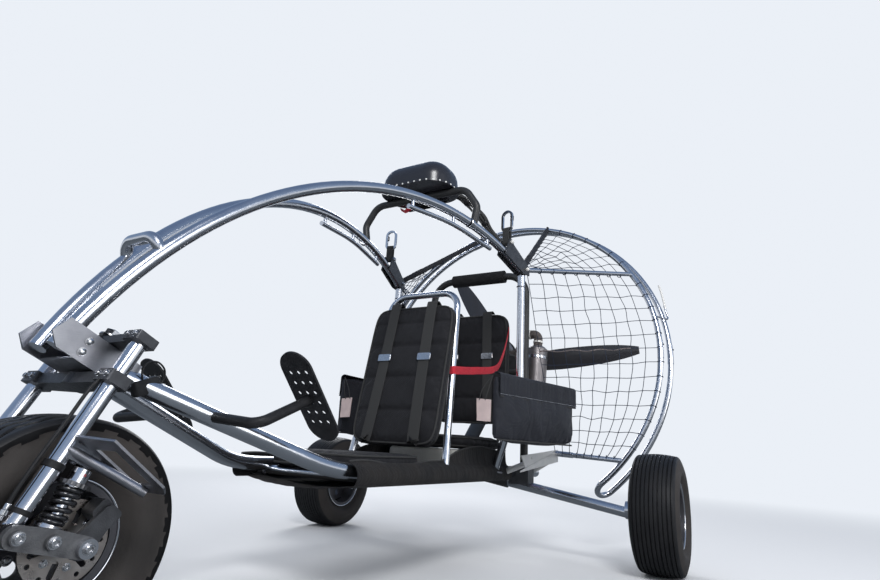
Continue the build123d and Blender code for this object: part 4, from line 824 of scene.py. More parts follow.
@dataclass
class Studio:
    """A pale floor, soft lights and the camera at the photograph's place."""

    focal_pixels: float = 546.13
    image_width: int = 880
    sensor: float = 36.0
    camera: Point = (1.5433, 1.0995, 0.3864)
    right: Point = (-0.4925, 0.8685, 0.0556)
    down: Point = (-0.2682, -0.0907, -0.9591)
    forward: Point = (-0.8279, -0.4873, 0.2776)
    floor_half: float = 60.0
    floor_colour: Colour = (0.80, 0.81, 0.83)
    floor_in_mirrors: Colour = (0.17, 0.19, 0.21)
    fade: Pair = (2.2, 6.5)
    backdrop: Colour = (0.83, 0.87, 0.93)
    ambient: Colour = (0.84, 0.9, 1.0)
    ambient_strength: float = 0.5
    sky: tuple[tuple[float, Colour], ...] = (
        (0.0, (0.03, 0.035, 0.04)), (0.47, (0.07, 0.08, 0.09)), (0.5, (0.62, 0.7, 0.8)),
        (0.56, (0.92, 0.95, 1.0)), (0.68, (0.27, 0.37, 0.54)), (1.0, (0.14, 0.21, 0.36)),
    )
    lamps: tuple[Lamp, ...] = (
        Lamp("key", (3.2, 2.6, 3.8), (0.0, 0.2, 0.7), 1.6, 150.0),
        Lamp("fill", (0.6, 4.6, 1.6), (0.0, 0.0, 0.6), 3.0, 60.0),
        Lamp("rim", (-3.4, -2.4, 3.2), (-0.4, 0.0, 0.8), 2.0, 90.0),
    )

    def build(self) -> None:
        """Makes the camera first, then the floor, the world and the lights."""
        self._camera()
        self._floor()
        self._world()
        self._lights()
        bpy.context.scene.view_settings.view_transform = "Standard"

    def _camera(self) -> None:
        """Sets the camera from its three axes in the frame."""
        data = bpy.data.cameras.new("camera")
        data.sensor_width = self.sensor
        data.lens = self.focal_pixels * self.sensor / self.image_width
        data.clip_start = 0.02
        camera = bpy.data.objects.new("camera", data)
        axes = np.stack([self.right, -np.array(self.down), -np.array(self.forward)], axis=1)
        left, _, right = np.linalg.svd(axes)
        turn = Matrix((left @ right).tolist()).to_4x4()
        camera.matrix_world = Matrix.Translation(self.camera) @ turn
        bpy.context.scene.collection.objects.link(camera)
        bpy.context.scene.camera = camera

    def _floor(self) -> None:
        """A wide pale plane that keeps the object's shadow.

        It is darker where something mirrors it, and the camera sees it fade into the
        backdrop's colour with the distance.
        """
        half = self.floor_half
        mesh = bpy.data.meshes.new("floor")
        mesh.from_pydata([(-half, -half, 0), (half, -half, 0), (half, half, 0), (-half, half, 0)], [],
                         [(0, 1, 2, 3)])
        floor = bpy.data.objects.new("floor", mesh)
        bpy.context.scene.collection.objects.link(floor)
        paint = bpy.data.materials.new("floor_paint")
        paint.use_nodes = True
        tree = paint.node_tree
        shader = tree.nodes["Principled BSDF"]
        feed(tree, shader, {"Base Color": (*self.floor_colour, 1.0), "Roughness": 0.9})
        ground = add_node(tree, "BsdfDiffuse", {"Color": (*self.floor_in_mirrors, 1.0)})
        haze = add_node(tree, "Emission", {"Color": (*self.backdrop, 1.0)})
        rays = add_node(tree, "LightPath").outputs
        place = add_node(tree, "TexCoord").outputs["Object"]
        reach = add_node(tree, "VectorMath", {0: place}, "LENGTH")
        share = add_node(tree, "MapRange", {
            "Value": reach.outputs["Value"], "From Min": self.fade[0], "From Max": self.fade[1]})
        share.interpolation_type = "SMOOTHSTEP"
        seen = add_node(tree, "Math", {0: share.outputs["Result"], 1: rays["Is Camera Ray"]}, "MULTIPLY")
        mixed = self._mix(tree, rays["Is Glossy Ray"], shader, ground)
        faded = self._mix(tree, seen.outputs["Value"], mixed, haze)
        feed(tree, tree.nodes["Material Output"], {"Surface": faded.outputs[0]})
        mesh.materials.append(paint)

    def _world(self) -> None:
        """An even pale world to the eye and the lamps, with a sky and a ground in reflections.

        The reflected colour runs with the height of the direction: dark below the
        horizon, pale at it and blue above.
        """
        world = bpy.data.worlds.new("studio")
        world.use_nodes = True
        tree = world.node_tree
        light = tree.nodes["Background"]
        feed(tree, light, {"Color": (*self.ambient, 1.0), "Strength": self.ambient_strength})
        seen = add_node(tree, "Background", {"Color": (*self.backdrop, 1.0), "Strength": 1.0})
        place = add_node(tree, "TexCoord").outputs["Generated"]
        split = add_node(tree, "SeparateXYZ", {"Vector": place})
        shift = add_node(tree, "MapRange", {"Value": split.outputs["Z"], "From Min": -1.0})
        sky = add_ramp(tree, shift.outputs["Result"], self.sky)
        mirrored = add_node(tree, "Background", {"Color": sky, "Strength": 1.0})
        rays = add_node(tree, "LightPath").outputs
        first = self._mix(tree, rays["Is Glossy Ray"], light, mirrored)
        last = self._mix(tree, rays["Is Camera Ray"], first, seen)
        feed(tree, tree.nodes["World Output"], {"Surface": last.outputs[0]})
        bpy.context.scene.world = world

    @staticmethod
    def _mix(tree: Tree, share: Socket, a: bpy.types.Node, b: bpy.types.Node) -> bpy.types.Node:
        """Adds a mix of two shaders whose share is a socket."""
        return add_node(tree, "MixShader", {"Fac": share, 1: a.outputs[0], 2: b.outputs[0]})

    def _lights(self) -> None:
        """A high key light from the front left, a wide fill and a rim light."""
        for one in self.lamps:
            data = bpy.data.lights.new(one.name, "AREA")
            data.shape = "DISK"
            data.size = one.size
            data.energy = one.power
            lamp = bpy.data.objects.new(one.name, data)
            z = unit(np.subtract(one.place, one.aim))
            x = unit(np.cross([0.0, 0.0, 1.0], z))
            turn = Matrix(np.stack([x, np.cross(z, x), z], axis=1).tolist()).to_4x4()
            lamp.matrix_world = Matrix.Translation(one.place) @ turn
            bpy.context.scene.collection.objects.link(lamp)


@dataclass
class Tyre:
    """A tyre whose tread is cut by grooves that run round it."""

    name: str
    node: str
    body: Body
    centre: Point
    radius: float
    half_width: float
    bead_radius: float
    bead_half: float
    shoulder_radius: float
    shoulder_half: float
    groove_spacing: float
    groove_count: int
    groove_half: float
    groove_depth: float
    waves: int = 0
    wave_reach: float = 0.0
    around: int = 128
    outline_points: int = 170
    tread_density: float = 3.2
    wall_ring_height: float = 0.0009
    lug_height: float = 0.0034

    def outline(self) -> Array:
        """The section from bead to bead, as radius and height across the wheel.

        Its points lie closer together on the tread than on the walls.
        """
        middle = (self.bead_radius + 0.010 + self.shoulder_radius) / 2
        half = np.array([
            [self.bead_radius - 0.001, self.bead_half - 0.016], [self.bead_radius, self.bead_half - 0.004],
            [self.bead_radius + 0.010, self.bead_half + 0.001],
            [middle - 0.020, self.half_width - 0.003], [middle, self.half_width],
            [middle + 0.020, self.half_width - 0.004], [self.shoulder_radius, self.shoulder_half],
            [self.shoulder_radius + 0.0045, self.shoulder_half * 0.78],
            [self.radius - 0.0012, self.shoulder_half * 0.4], [self.radius, 0.0],
        ])
        whole = np.concatenate([half, (half * [1, -1])[::-1][1:]])
        line = smooth(whole, 420)
        step = np.linalg.norm(np.diff(line, axis=0), axis=1)
        on_tread = line[:, 0] > self.shoulder_radius - 0.004
        weight = np.where(on_tread[1:], self.tread_density, 1.0)
        length = np.concatenate([[0], np.cumsum(step * weight)])
        spots = np.linspace(0, length[-1], self.outline_points)
        return np.stack([np.interp(spots, length, line[:, axis]) for axis in (0, 1)], axis=1)

    def border(self, turn: Array) -> Array:
        """The radius at which the lugs end on the wall, going in and out with the angle."""
        return self.shoulder_radius - 0.015 + 0.0030 * np.arcsin(0.90 * np.sin(self.waves * turn))

    def shape(self) -> Shape:
        """The tyre's outer skin with its tread, closed through the bead.

        The radius is lowered by the groove depth where the point lies within the groove's
        half width of a groove's middle. The middle of a groove swings to and fro with the
        angle in rounded zigzags. Lugs then stand out past the shoulder down to the border,
        and a thin ring stands out on each wall by a bell curve of the radius.

        Returns:
            Points about the wheel's axle, which lies along y, and faces.
        """
        outline = self.outline()
        turn = angles(self.around)
        radius = np.repeat(outline[:, :1], self.around, axis=1)
        across = np.repeat(outline[:, 1:], self.around, axis=1)
        swing = np.arcsin(0.94 * np.sin(self.waves * turn)) * self.wave_reach * 0.72 if self.waves else 0.0
        middles = (np.arange(self.groove_count) - (self.groove_count - 1) / 2) * self.groove_spacing
        gap = np.abs(across[..., None] - middles - np.asarray(swing)[..., None]).min(axis=-1)
        cut = np.clip((self.groove_half - gap) / (self.groove_half * 0.45), 0, 1)
        tread = np.clip((radius - self.shoulder_radius + 0.005) / 0.006, 0, 1)
        sunk = cut * cut * (3 - 2 * cut) * tread * self.groove_depth
        near_ring = np.exp(-(((radius - self.bead_radius - 0.030) / 0.0016) ** 2)) * (tread < 0.5)
        if self.waves:
            lug = np.clip((radius - self.border(turn)) / 0.0022, 0, 1) * np.clip(
                (self.shoulder_radius + 0.003 - radius) / 0.006, 0, 1)
            across = across + np.sign(across) * lug * self.lug_height
        radius = radius - sunk
        across = across + np.sign(across) * near_ring * self.wall_ring_height
        points = np.stack([radius * np.cos(turn), across, radius * np.sin(turn)], axis=-1)
        return points.reshape(-1, 3) + self.centre, quads(len(outline), self.around, True, True)

    def build(self) -> None:
        """Makes the tyre in place of its plain solid, its walls in their own finish and its grooves in
        painted shade.
        """
        piece = make(self.name, self.shape(), TYRE, self.body)
        piece.data.materials.append(TYRE_WALL.build())
        centres = np.empty(len(piece.data.polygons) * 3)
        piece.data.polygons.foreach_get("center", centres)
        x, y, z = (centres.reshape(-1, 3) - self.centre).T
        reach = np.hypot(x, z)
        border = self.border(np.arctan2(z, x)) if self.waves else self.shoulder_radius - 0.006
        index = (reach < border).astype(np.int32)
        if self.waves:
            piece.data.materials.append(GROOVE_SHADE.build())
            crown = self.shoulder_radius + (self.radius - self.shoulder_radius) * (
                1 - (y / self.shoulder_half) ** 2)
            # Faces sunk in the grooves get the darker finish, which paints the shade in them.
            index[(index == 0) & (reach < crown - self.groove_depth * 0.45)] = 2
        piece.data.polygons.foreach_set("material_index", index)
        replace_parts(piece, self.node)


@dataclass
class Wheels:
    """The three wheels: treads, rim edges, hub bolts and valves."""

    front_lip: float = 0.098
    front_rim_half: float = 0.080
    rear_lip: float = 0.1115
    rear_rim_half: float = 0.066
    edge_radius: float = 0.0028
    hub_bolts_at: float = 0.0493
    disc_bolts_at: float = 0.038
    disc_face: float = 0.100

    def build(self) -> None:
        """Builds the tyres and dresses the rims and the disc."""
        front = LAYOUT.at(LAYOUT.wheelbase, 0.0, LAYOUT.front_axle_z)
        Tyre("front_tyre", "tyre_front", Body.FRONT_WHEEL, tuple(front), radius=LAYOUT.front_axle_z,
             half_width=0.100, bead_radius=0.089, bead_half=0.074, shoulder_radius=0.195,
             shoulder_half=0.089, groove_spacing=0.0262, groove_count=6, groove_half=0.0046,
             groove_depth=0.0075, waves=22, wave_reach=0.0062, around=308).build()
        for side, sign, body in (("left", 1, Body.REAR_LEFT), ("right", -1, Body.REAR_RIGHT)):
            centre = LAYOUT.at(0.0, sign * LAYOUT.track / 2, LAYOUT.rear_axle_z)
            Tyre(f"rear_tyre_{side}", f"tyre_rear_{side}", body, tuple(centre), radius=LAYOUT.rear_axle_z,
                 half_width=0.0825, bead_radius=0.103, bead_half=0.060, shoulder_radius=0.196,
                 shoulder_half=0.0693, groove_spacing=0.0136, groove_count=10, groove_half=0.0019,
                 groove_depth=0.0048, around=160).build()
            self._rim(f"rear_{side}", centre, self.rear_lip, self.rear_rim_half, body)
        self._rim("front", front, self.front_lip, self.front_rim_half, Body.FRONT_WHEEL)
        dress(WHEEL_PAINT, "rim_front", "rim_rear_left", "rim_rear_right")
        dress(DISC_STEEL, "brake_disc")
        turn = np.radians(np.arange(6) * 60.0 + 15)
        spots = front + spread(self.disc_bolts_at * np.cos(turn), self.disc_face,
                               self.disc_bolts_at * np.sin(turn))
        make("disc_bolts", set_at(cap_bolt(0.005, 0.005), spots, [0, 1, 0]), BOLT_STEEL, Body.FRONT_WHEEL)

    def _rim(self, name: str, centre: Array, lip: float, half: float, body: Body) -> None:
        """Adds a rolled bright edge to each flange, hub bolts and a valve.

        Args:
            name: the wheel's name.
            centre: the middle of the wheel.
            lip: the radius of the flange's edge.
            half: half the rim's width.
            body: what it turns with.
        """
        section = angles(10)
        turn = np.radians(np.arange(4) * 90.0 + 45)
        edge, bolts = [], []
        for sign in (1, -1):
            profile = np.stack([lip + self.edge_radius * np.cos(section),
                                sign * half + self.edge_radius * np.sin(section)], axis=1)
            points, faces = turned(profile, 96, True)
            edge.append((points[:, [0, 2, 1]] + centre, faces))
            spots = centre + spread(self.hub_bolts_at * np.cos(turn), sign * 0.0035,
                                    self.hub_bolts_at * np.sin(turn))
            bolts.append(set_at(hex_bolt(0.0065, 0.006), spots, [0, sign, 0]))
        make(f"{name}_rim_edge", joined(edge), POLISHED_LEG, body)
        make(f"{name}_hub_bolts", joined(bolts), BOLT_STEEL, body)
        root = centre + np.array([0.0, 0.010, -(lip - 0.020)])
        path = smooth([root, root + [0, 0.024, 0.006], root + [0, 0.046, 0.016]], 12)
        radius = np.where(np.arange(12) > 8, 0.0042, 0.0030)
        make(f"{name}_valve", tube(path, radius, 10), HOSE, body)


@dataclass
class Fork:
    """The steered fork: coil springs, dampers, bolts, bands and caps."""

    spring_wire: float = 0.0041
    spring_radius: float = 0.0160
    spring_turns: float = 5.5
    spring_foot: float = 0.024
    spring_head: float = 0.047
    coil_closing: float = 0.045
    damper_radius: float = 0.0105
    damper_foot: float = 0.010
    knurl: float = 0.0012
    cap_radius: float = 0.0152
    eye: Pair = (1.0501, 0.2185)
    top: Pair = (1.0051, 0.3342)
    pivot: Pair = (1.1006, 0.229)
    link_face: float = 0.168
    axle_face: float = 0.169
    leg_radius: float = 0.0149
    band_rise: float = -0.205
    leg_top: float = 0.0475
    nut_rise: float = 0.057

    def build(self) -> None:
        """Builds each side of the fork and dresses its nodes."""
        dress(POLISHED_LEG, "fork_legs", "front_axle", "shocks")
        dress(DARK_CAST, "fork_upper_clamp", "fork_lower_clamp", "brake_caliper")
        dress(FORGED, "fork_links")
        dress(BRUSHED, "foot_steps")
        coils = []
        for side, sign in SIDES:
            coils.append(self._shock(side, sign))
            self._bolts(side, sign)
            self._bands(side, sign)
        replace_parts(make("fork_springs", joined(coils), SPRING, Body.STEERING), "shock_springs")
        nut = set_at(hex_bolt(0.016, 0.016), LAYOUT.head(0.0, 0.0, self.nut_rise), LAYOUT.head_axis())
        make("steerer_nut", nut, BOLT_STEEL, Body.STEERING)

    def _along(self, sign: int, distance: float | Array) -> Array:
        """Points on the shock's axis at a distance from its lower eye."""
        low = np.array([self.eye[0], sign * LAYOUT.leg_spread, self.eye[1]])
        high = np.array([self.top[0], sign * LAYOUT.leg_spread, self.top[1]])
        return low + np.asarray(distance, float)[..., None] * unit(high - low)

    def _shock(self, side: str, sign: int) -> Shape:
        """Winds the coil and adds the damper, the knurled collar, the pale cap and its dot.

        The coil is a helix about the shock's axis whose turns close up at both ends.

        Returns:
            The coil.
        """
        axis = unit(self._along(sign, 1.0) - self._along(sign, 0.0))
        length = float(np.hypot(self.top[0] - self.eye[0], self.top[1] - self.eye[1]))
        share = np.linspace(0, 1, 300)
        travel = length - self.spring_head - self.spring_foot
        rise = self.spring_foot + travel * (share - self.coil_closing * np.sin(2 * np.pi * share))
        coil = circle(np.zeros(3), axis, self.spring_radius, 2 * np.pi * self.spring_turns * share)
        reach, tall = self.damper_radius, length - 0.050
        body = turned([[0, 0], [reach, 0], [reach, tall], [0, tall]], 24)
        turn = angles(48)
        rows = np.array([[0.0130, 0.0], [0.0246, 0.0008], [0.0246, 0.0066], [0.0130, 0.0074]])
        radius = rows[:, :1] + np.arange(48) % 2 * self.knurl * (rows[:, :1] > 0.02)
        points = spread(radius * np.cos(turn), radius * np.sin(turn), rows[:, 1:]).reshape(-1, 3)
        reach = self.cap_radius
        cap = turned([[0, 0], [reach - 0.0002, 0], [reach, 0.002], [reach, 0.021], [reach - 0.0017, 0.024],
                      [0, 0.024]], 32)
        for name, shape, place, finish in (
            ("damper", body, self.damper_foot, POLISHED_LEG),
            ("collar", (points, quads(4, 48, True, True)), length - 0.044, DARK_BOLT),
            ("shock_cap", cap, length - 0.039, CAP_WHITE),
        ):
            make(f"{name}_{side}", set_at(shape, self._along(sign, place), axis), finish, Body.STEERING)
        front = self._along(sign, length - 0.024) + np.array([0.0, sign * reach, 0.0])
        make(f"shock_dot_{side}", set_at(cap_bolt(0.0022, 0.0012), front, [0, sign, 0]), RED_DOT,
             Body.STEERING)
        return tube(self._along(sign, rise) + coil, self.spring_wire, 10)

    def _bolts(self, side: str, sign: int) -> None:
        """Sets the cap bolts on the link and the pinch bolts on the two clamps."""
        axle = [LAYOUT.rear_axle_x + LAYOUT.wheelbase, sign * self.axle_face, LAYOUT.front_axle_z]
        spots = np.array([[x, sign * self.link_face, z] for x, z in (self.eye, self.pivot)] + [axle])
        make(f"link_bolts_{side}", set_at(cap_bolt(0.0075, 0.007), spots, [0, sign, 0]), BOLT_STEEL,
             Body.STEERING)
        ahead = LAYOUT.head(1.0, 0.0, 0.0) - LAYOUT.head(0.0, 0.0, 0.0)
        pinch = [LAYOUT.head(LAYOUT.leg_lead + 0.022, sign * (LAYOUT.leg_spread + aside), u)
                 for u in (0.041, -0.043) for aside in (-0.012, 0.012)]
        make(f"clamp_bolts_{side}", set_at(cap_bolt(0.0048, 0.005), pinch, ahead), BOLT_STEEL, Body.STEERING)

    def _bands(self, side: str, sign: int) -> None:
        """Wraps a black clip round the leg and caps its top."""
        inner, reach = self.leg_radius, self.leg_radius + 0.0019
        ring = turned([[inner, 0], [reach, 0.001], [reach, 0.011], [inner, 0.012]], 40, True)
        cap = turned([[0, 0], [0.0150, 0], [0.0150, 0.002], [0.0130, 0.004], [0.008, 0.004],
                      [0.007, 0.0025], [0, 0.0025]], 40)
        for name, shape, rise, finish in (("leg_band", ring, self.band_rise, HOSE),
                                          ("leg_cap", cap, self.leg_top, BOLT_STEEL)):
            spot = LAYOUT.head(LAYOUT.leg_lead, sign * LAYOUT.leg_spread, rise)
            make(f"{name}_{side}", set_at(shape, spot, LAYOUT.head_axis()), finish, Body.STEERING)


@dataclass
class Cage:
    """The propeller cage: nets, lashings, sleeves and the wrapped upper struts."""

    cord: float = 0.0015
    lacing: float = 0.0026
    lacing_row: int = 6
    knot_radius: float = 0.0030
    knot_shift: float = 0.0028
    edge_shift_share: float = 0.15
    slack: Point = (0.010, 0.0, -0.006)
    strut_loop: float = 0.0112
    ring_loop: float = 0.0132
    hook_radius: float = 0.0155
    hook_wire: float = 0.0045
    sleeve_radius: float = 0.0136
    sleeve_angles: Point = (108.0, 2.0, 178.0)
    hook_tips: tuple[Pair, ...] = ((19.0, 1.0), (161.0, -1.0))
    hook_tip_radius: float = 0.0048
    hook_tip_reach: Pair = (0.803, 0.826)
    hook_tip_back: float = 0.0747
    strut_angle: float = 33.0
    spoke_angle: float = -38.0
    top_angle: float = 75.0
    junction: Point = (0.204, 0.318, 1.111)
    spoke_start: Point = (-0.194, 0.308, 0.392)
    top_start: Point = (0.206, 0.302, 1.125)

    def build(self) -> None:
        """Builds both sides of the cage and dresses its nodes."""
        dress(POLISHED, "cage_front_ring", "cage_rear_ring", "cage_struts")
        dress(WRAP, "cage_top_struts")
        for side, sign in SIDES:
            self._net(f"side_net_{side}", sign, self.junction, self.spoke_start, self.strut_angle,
                      self.spoke_angle, 14, 9)
            self._net(f"top_net_{side}", sign, self.top_start, self.junction, self.top_angle,
                      self.strut_angle, 7, 9)
            self._wraps(side, sign)
        self._sleeves()

    def _start(self, spot: Point, sign: int) -> Array:
        """A start of a strut on one side, as a point of the frame."""
        return LAYOUT.at(spot[0], sign * spot[1], spot[2])

    def _ring(self, sign: int, angle: float | Array) -> Array:
        """A point just inside the front ring, its angle mirrored on the right side."""
        return LAYOUT.ring(on_side(angle, sign), LAYOUT.cage_front_radius - 0.011)

    def patch(self, sign: int, start: Point, end: Point, high: float, low: float, rows: Array,
              columns: Array) -> Array:
        """Points of the surface that the net is stretched over.

        A point is the straight blend of a point of the inner edge, which runs from the
        upper strut's start to the lower one's, and a point of the ring's arc, with a
        little slack added that is a product of two sines.

        Args:
            sign: 1 on the left and -1 on the right.
            start: where the upper strut starts.
            end: where the lower strut starts.
            high: the angle at which the upper strut meets the ring.
            low: the angle at which the lower strut meets the ring.
            rows: shares of the way from the upper strut to the lower one.
            columns: shares of the way from the inner edge to the ring.

        Returns:
            An array of rows by columns by three.
        """
        s = rows[:, None, None]
        t = columns[None, :, None]
        arc = self._ring(sign, high + (low - high) * rows)[:, None]
        inner = self._start(start, sign) * (1 - s) + self._start(end, sign) * s
        slack = np.sin(np.pi * s) * np.sin(np.pi * t) * np.array(self.slack)
        return inner * (1 - t) + arc * t + slack

    def _net(self, name: str, sign: int, start: Point, end: Point, high: float, low: float, rows: int,
             columns: int) -> None:
        """Knots cords along the rows and columns of the patch and loops it to its edges.

        Each knot is moved a little by a seeded shift, so that no mesh is quite square,
        and the cords pass from knot to knot with the slight curve of slack line.
        """
        random = np.random.default_rng(rows * 100 + columns + (sign > 0))
        s, t = np.linspace(0, 1, rows + 1), np.linspace(0, 1, columns + 1)
        knots = self.patch(sign, start, end, high, low, s, t)
        shift = random.normal(0, self.knot_shift, knots.shape)
        shift[[0, -1]] *= self.edge_shift_share
        shift[:, [0, -1]] *= self.edge_shift_share
        knots = knots + shift
        cords = [tube(smooth(row, 3 * columns + 1), self.cord, 5) for row in knots[1:-1]]
        cords += [tube(smooth(column, 3 * rows + 1), self.cord, 5) for column in knots.transpose(1, 0, 2)]
        ball = turned([[0, -1], [0.8, -0.6], [1, 0], [0.8, 0.6], [0, 1]], 6)
        inside = knots[1:-1, 1:].reshape(-1, 3)
        make(name, joined([*cords, set_at(ball, inside, [1.0, 0.3, 0.2], self.knot_radius)]), NET)
        turn = angles(14)
        loops = [circle(spot, unit(line[-1] - line[0]), self.strut_loop, turn)
                 for line in (knots[0], knots[-1]) for spot in line[1:-1]]
        for angle in (high + (low - high) * s)[1:-1]:
            centre = LAYOUT.ring(on_side(angle, sign), LAYOUT.cage_front_radius)
            out = unit(centre - LAYOUT.cage(0.0, 0.0, 0.0))
            loops.append(centre + self.ring_loop * (out * np.cos(turn)[:, None]
                                                    + LAYOUT.cage_axis() * np.sin(turn)[:, None]))
        make(f"{name}_loops", joined([tube(loop, self.cord * 1.2, 5, True) for loop in loops]), NET)
        if sign > 0 and rows > 10:
            self._lacing(knots[self.lacing_row])

    def _lacing(self, row: Array) -> None:
        """Weaves the thicker grey cord over and under the net along one row."""
        path = smooth(row[:8], 60)
        weave = np.sin(np.linspace(0, 7 * np.pi, 60))[:, None] * np.array([0.6, 0.2, 0.8])
        make("net_lacing", tube(path + self.lacing * weave, self.lacing, 7), LACING)

    def _wraps(self, side: str, sign: int) -> None:
        """Winds tape bands on the ends of the black strut and hooks it over the ring."""
        start = self._start(self.top_start, sign)
        end = LAYOUT.ring(on_side(self.top_angle, sign), LAYOUT.cage_front_radius)
        along = unit(end - start)
        length = float(np.linalg.norm(end - start))
        spots = np.concatenate([np.linspace(0.10, 0.16, 4), np.linspace(length - 0.085, length - 0.03, 4)])
        tape = turned([[0.0118, -0.007], [0.0132, -0.005], [0.0132, 0.005], [0.0118, 0.007]], 24, True)
        make(f"strut_tape_{side}", set_at(tape, start + spots[:, None] * along, along), WRAP)
        angle = np.linspace(-0.55 * np.pi, 0.75 * np.pi, 20)
        out = unit(end - LAYOUT.cage(0.0, 0.0, 0.0))
        hook = out * np.sin(angle)[:, None] - LAYOUT.cage_axis() * np.cos(angle)[:, None]
        make(f"strut_hook_{side}", tube(end + self.hook_radius * hook, self.hook_wire, 10), BLACK_TUBE)

    def _sleeves(self) -> None:
        """Slides joint sleeves with a screw on to both rings and tips on to the line hooks."""
        sleeves, screws = [], []
        for angle in self.sleeve_angles:
            for radius, back in ((LAYOUT.cage_front_radius, 0.0),
                                 (LAYOUT.cage_rear_radius, LAYOUT.cage_ring_gap)):
                path = LAYOUT.ring(np.linspace(angle - 3.2, angle + 3.2, 9), radius, back)
                sleeves.append(tube(path, self.sleeve_radius, 20))
                middle = LAYOUT.ring(angle + 1.6, radius, back)
                out = unit(middle - LAYOUT.cage(0.0, 0.0, -back))
                screws.append(set_at(cap_bolt(0.0034, 0.003), middle + out * 0.0134, out))
        tips = []
        for angle, step in self.hook_tips:
            path = LAYOUT.ring(np.linspace(angle - 0.9 * step, angle + 7.6 * step, 14),
                               np.linspace(*self.hook_tip_reach, 14), self.hook_tip_back)
            tips.append(tube(path, self.hook_tip_radius, 12))
        make("hook_tips", joined(tips), CAP_WHITE)
        make("ring_sleeves", joined(sleeves), POLISHED_LEG)
        make("ring_screws", joined(screws), DARK_BOLT)


@dataclass(frozen=True)
class Stuffing:
    """Blows closed shells up as cloth under pressure, several in one run."""

    pressure: float = 4.0
    steps: int = 20
    slack: float = -0.025
    quality: int = 5
    mass: float = 0.25
    stretch: float = 12.0
    bending: float = 0.35

    def fill(self, jobs: list[tuple[Piece, Callable[[Array], Array],
                                    Callable[[Array], Array], float, float]]) -> None:
        """Simulates every piece at once, limits how far a point may move and subdivides.

        Args:
            jobs: for each, the piece, the function that says how firmly a point is held
                from 0 to 1, the function that keeps points in the piece's space, the
                furthest that a point may move and the size of the even mesh.
        """
        starts = []
        for piece, held, _, _, size in jobs:
            remesh = piece.modifiers.new("even_mesh", "REMESH")
            remesh.mode = "VOXEL"
            remesh.voxel_size = size
            settle(piece)
            start = vertices(piece.data)
            weight = held(start)
            group = piece.vertex_groups.new(name="held")
            for level in (0.25, 0.5, 0.75, 1.0):
                index = np.flatnonzero(np.abs(weight - level) <= 0.125)
                group.add(index.tolist(), level, "REPLACE")
            starts.append(start)
        self._simulate([job[0] for job in jobs])
        for (piece, _, kept, reach, _), start in zip(jobs, starts):
            graph = bpy.context.evaluated_depsgraph_get()
            shape = piece.evaluated_get(graph).to_mesh()
            moved = vertices(shape) - start
            piece.evaluated_get(graph).to_mesh_clear()
            far = np.linalg.norm(moved, axis=1, keepdims=True)
            points = kept(start + moved * np.minimum(1.0, reach / np.maximum(far, 1e-9)))
            piece.modifiers.clear()
            piece.vertex_groups.clear()
            piece.data.vertices.foreach_set("co", points.ravel())
            piece.data.shade_smooth()
            finer = piece.modifiers.new("finer", "SUBSURF")
            finer.levels = finer.render_levels = 1

    def _simulate(self, pieces: list[Piece]) -> None:
        """Runs the cloth solver without gravity over the given number of frames."""
        for piece in pieces:
            cloth = piece.modifiers.new("cloth", "CLOTH")
            made = cloth.settings
            made.quality = self.quality
            made.mass = self.mass
            made.tension_stiffness = self.stretch
            made.compression_stiffness = self.stretch
            made.bending_stiffness = self.bending
            made.use_pressure = True
            made.uniform_pressure_force = self.pressure
            made.shrink_min = self.slack
            made.vertex_group_mass = "held"
            made.effector_weights.gravity = 0.0
            cloth.collision_settings.use_collision = False
            cloth.point_cache.frame_start = 1
            cloth.point_cache.frame_end = self.steps
        for frame in range(1, self.steps + 1):
            bpy.context.scene.frame_set(frame)


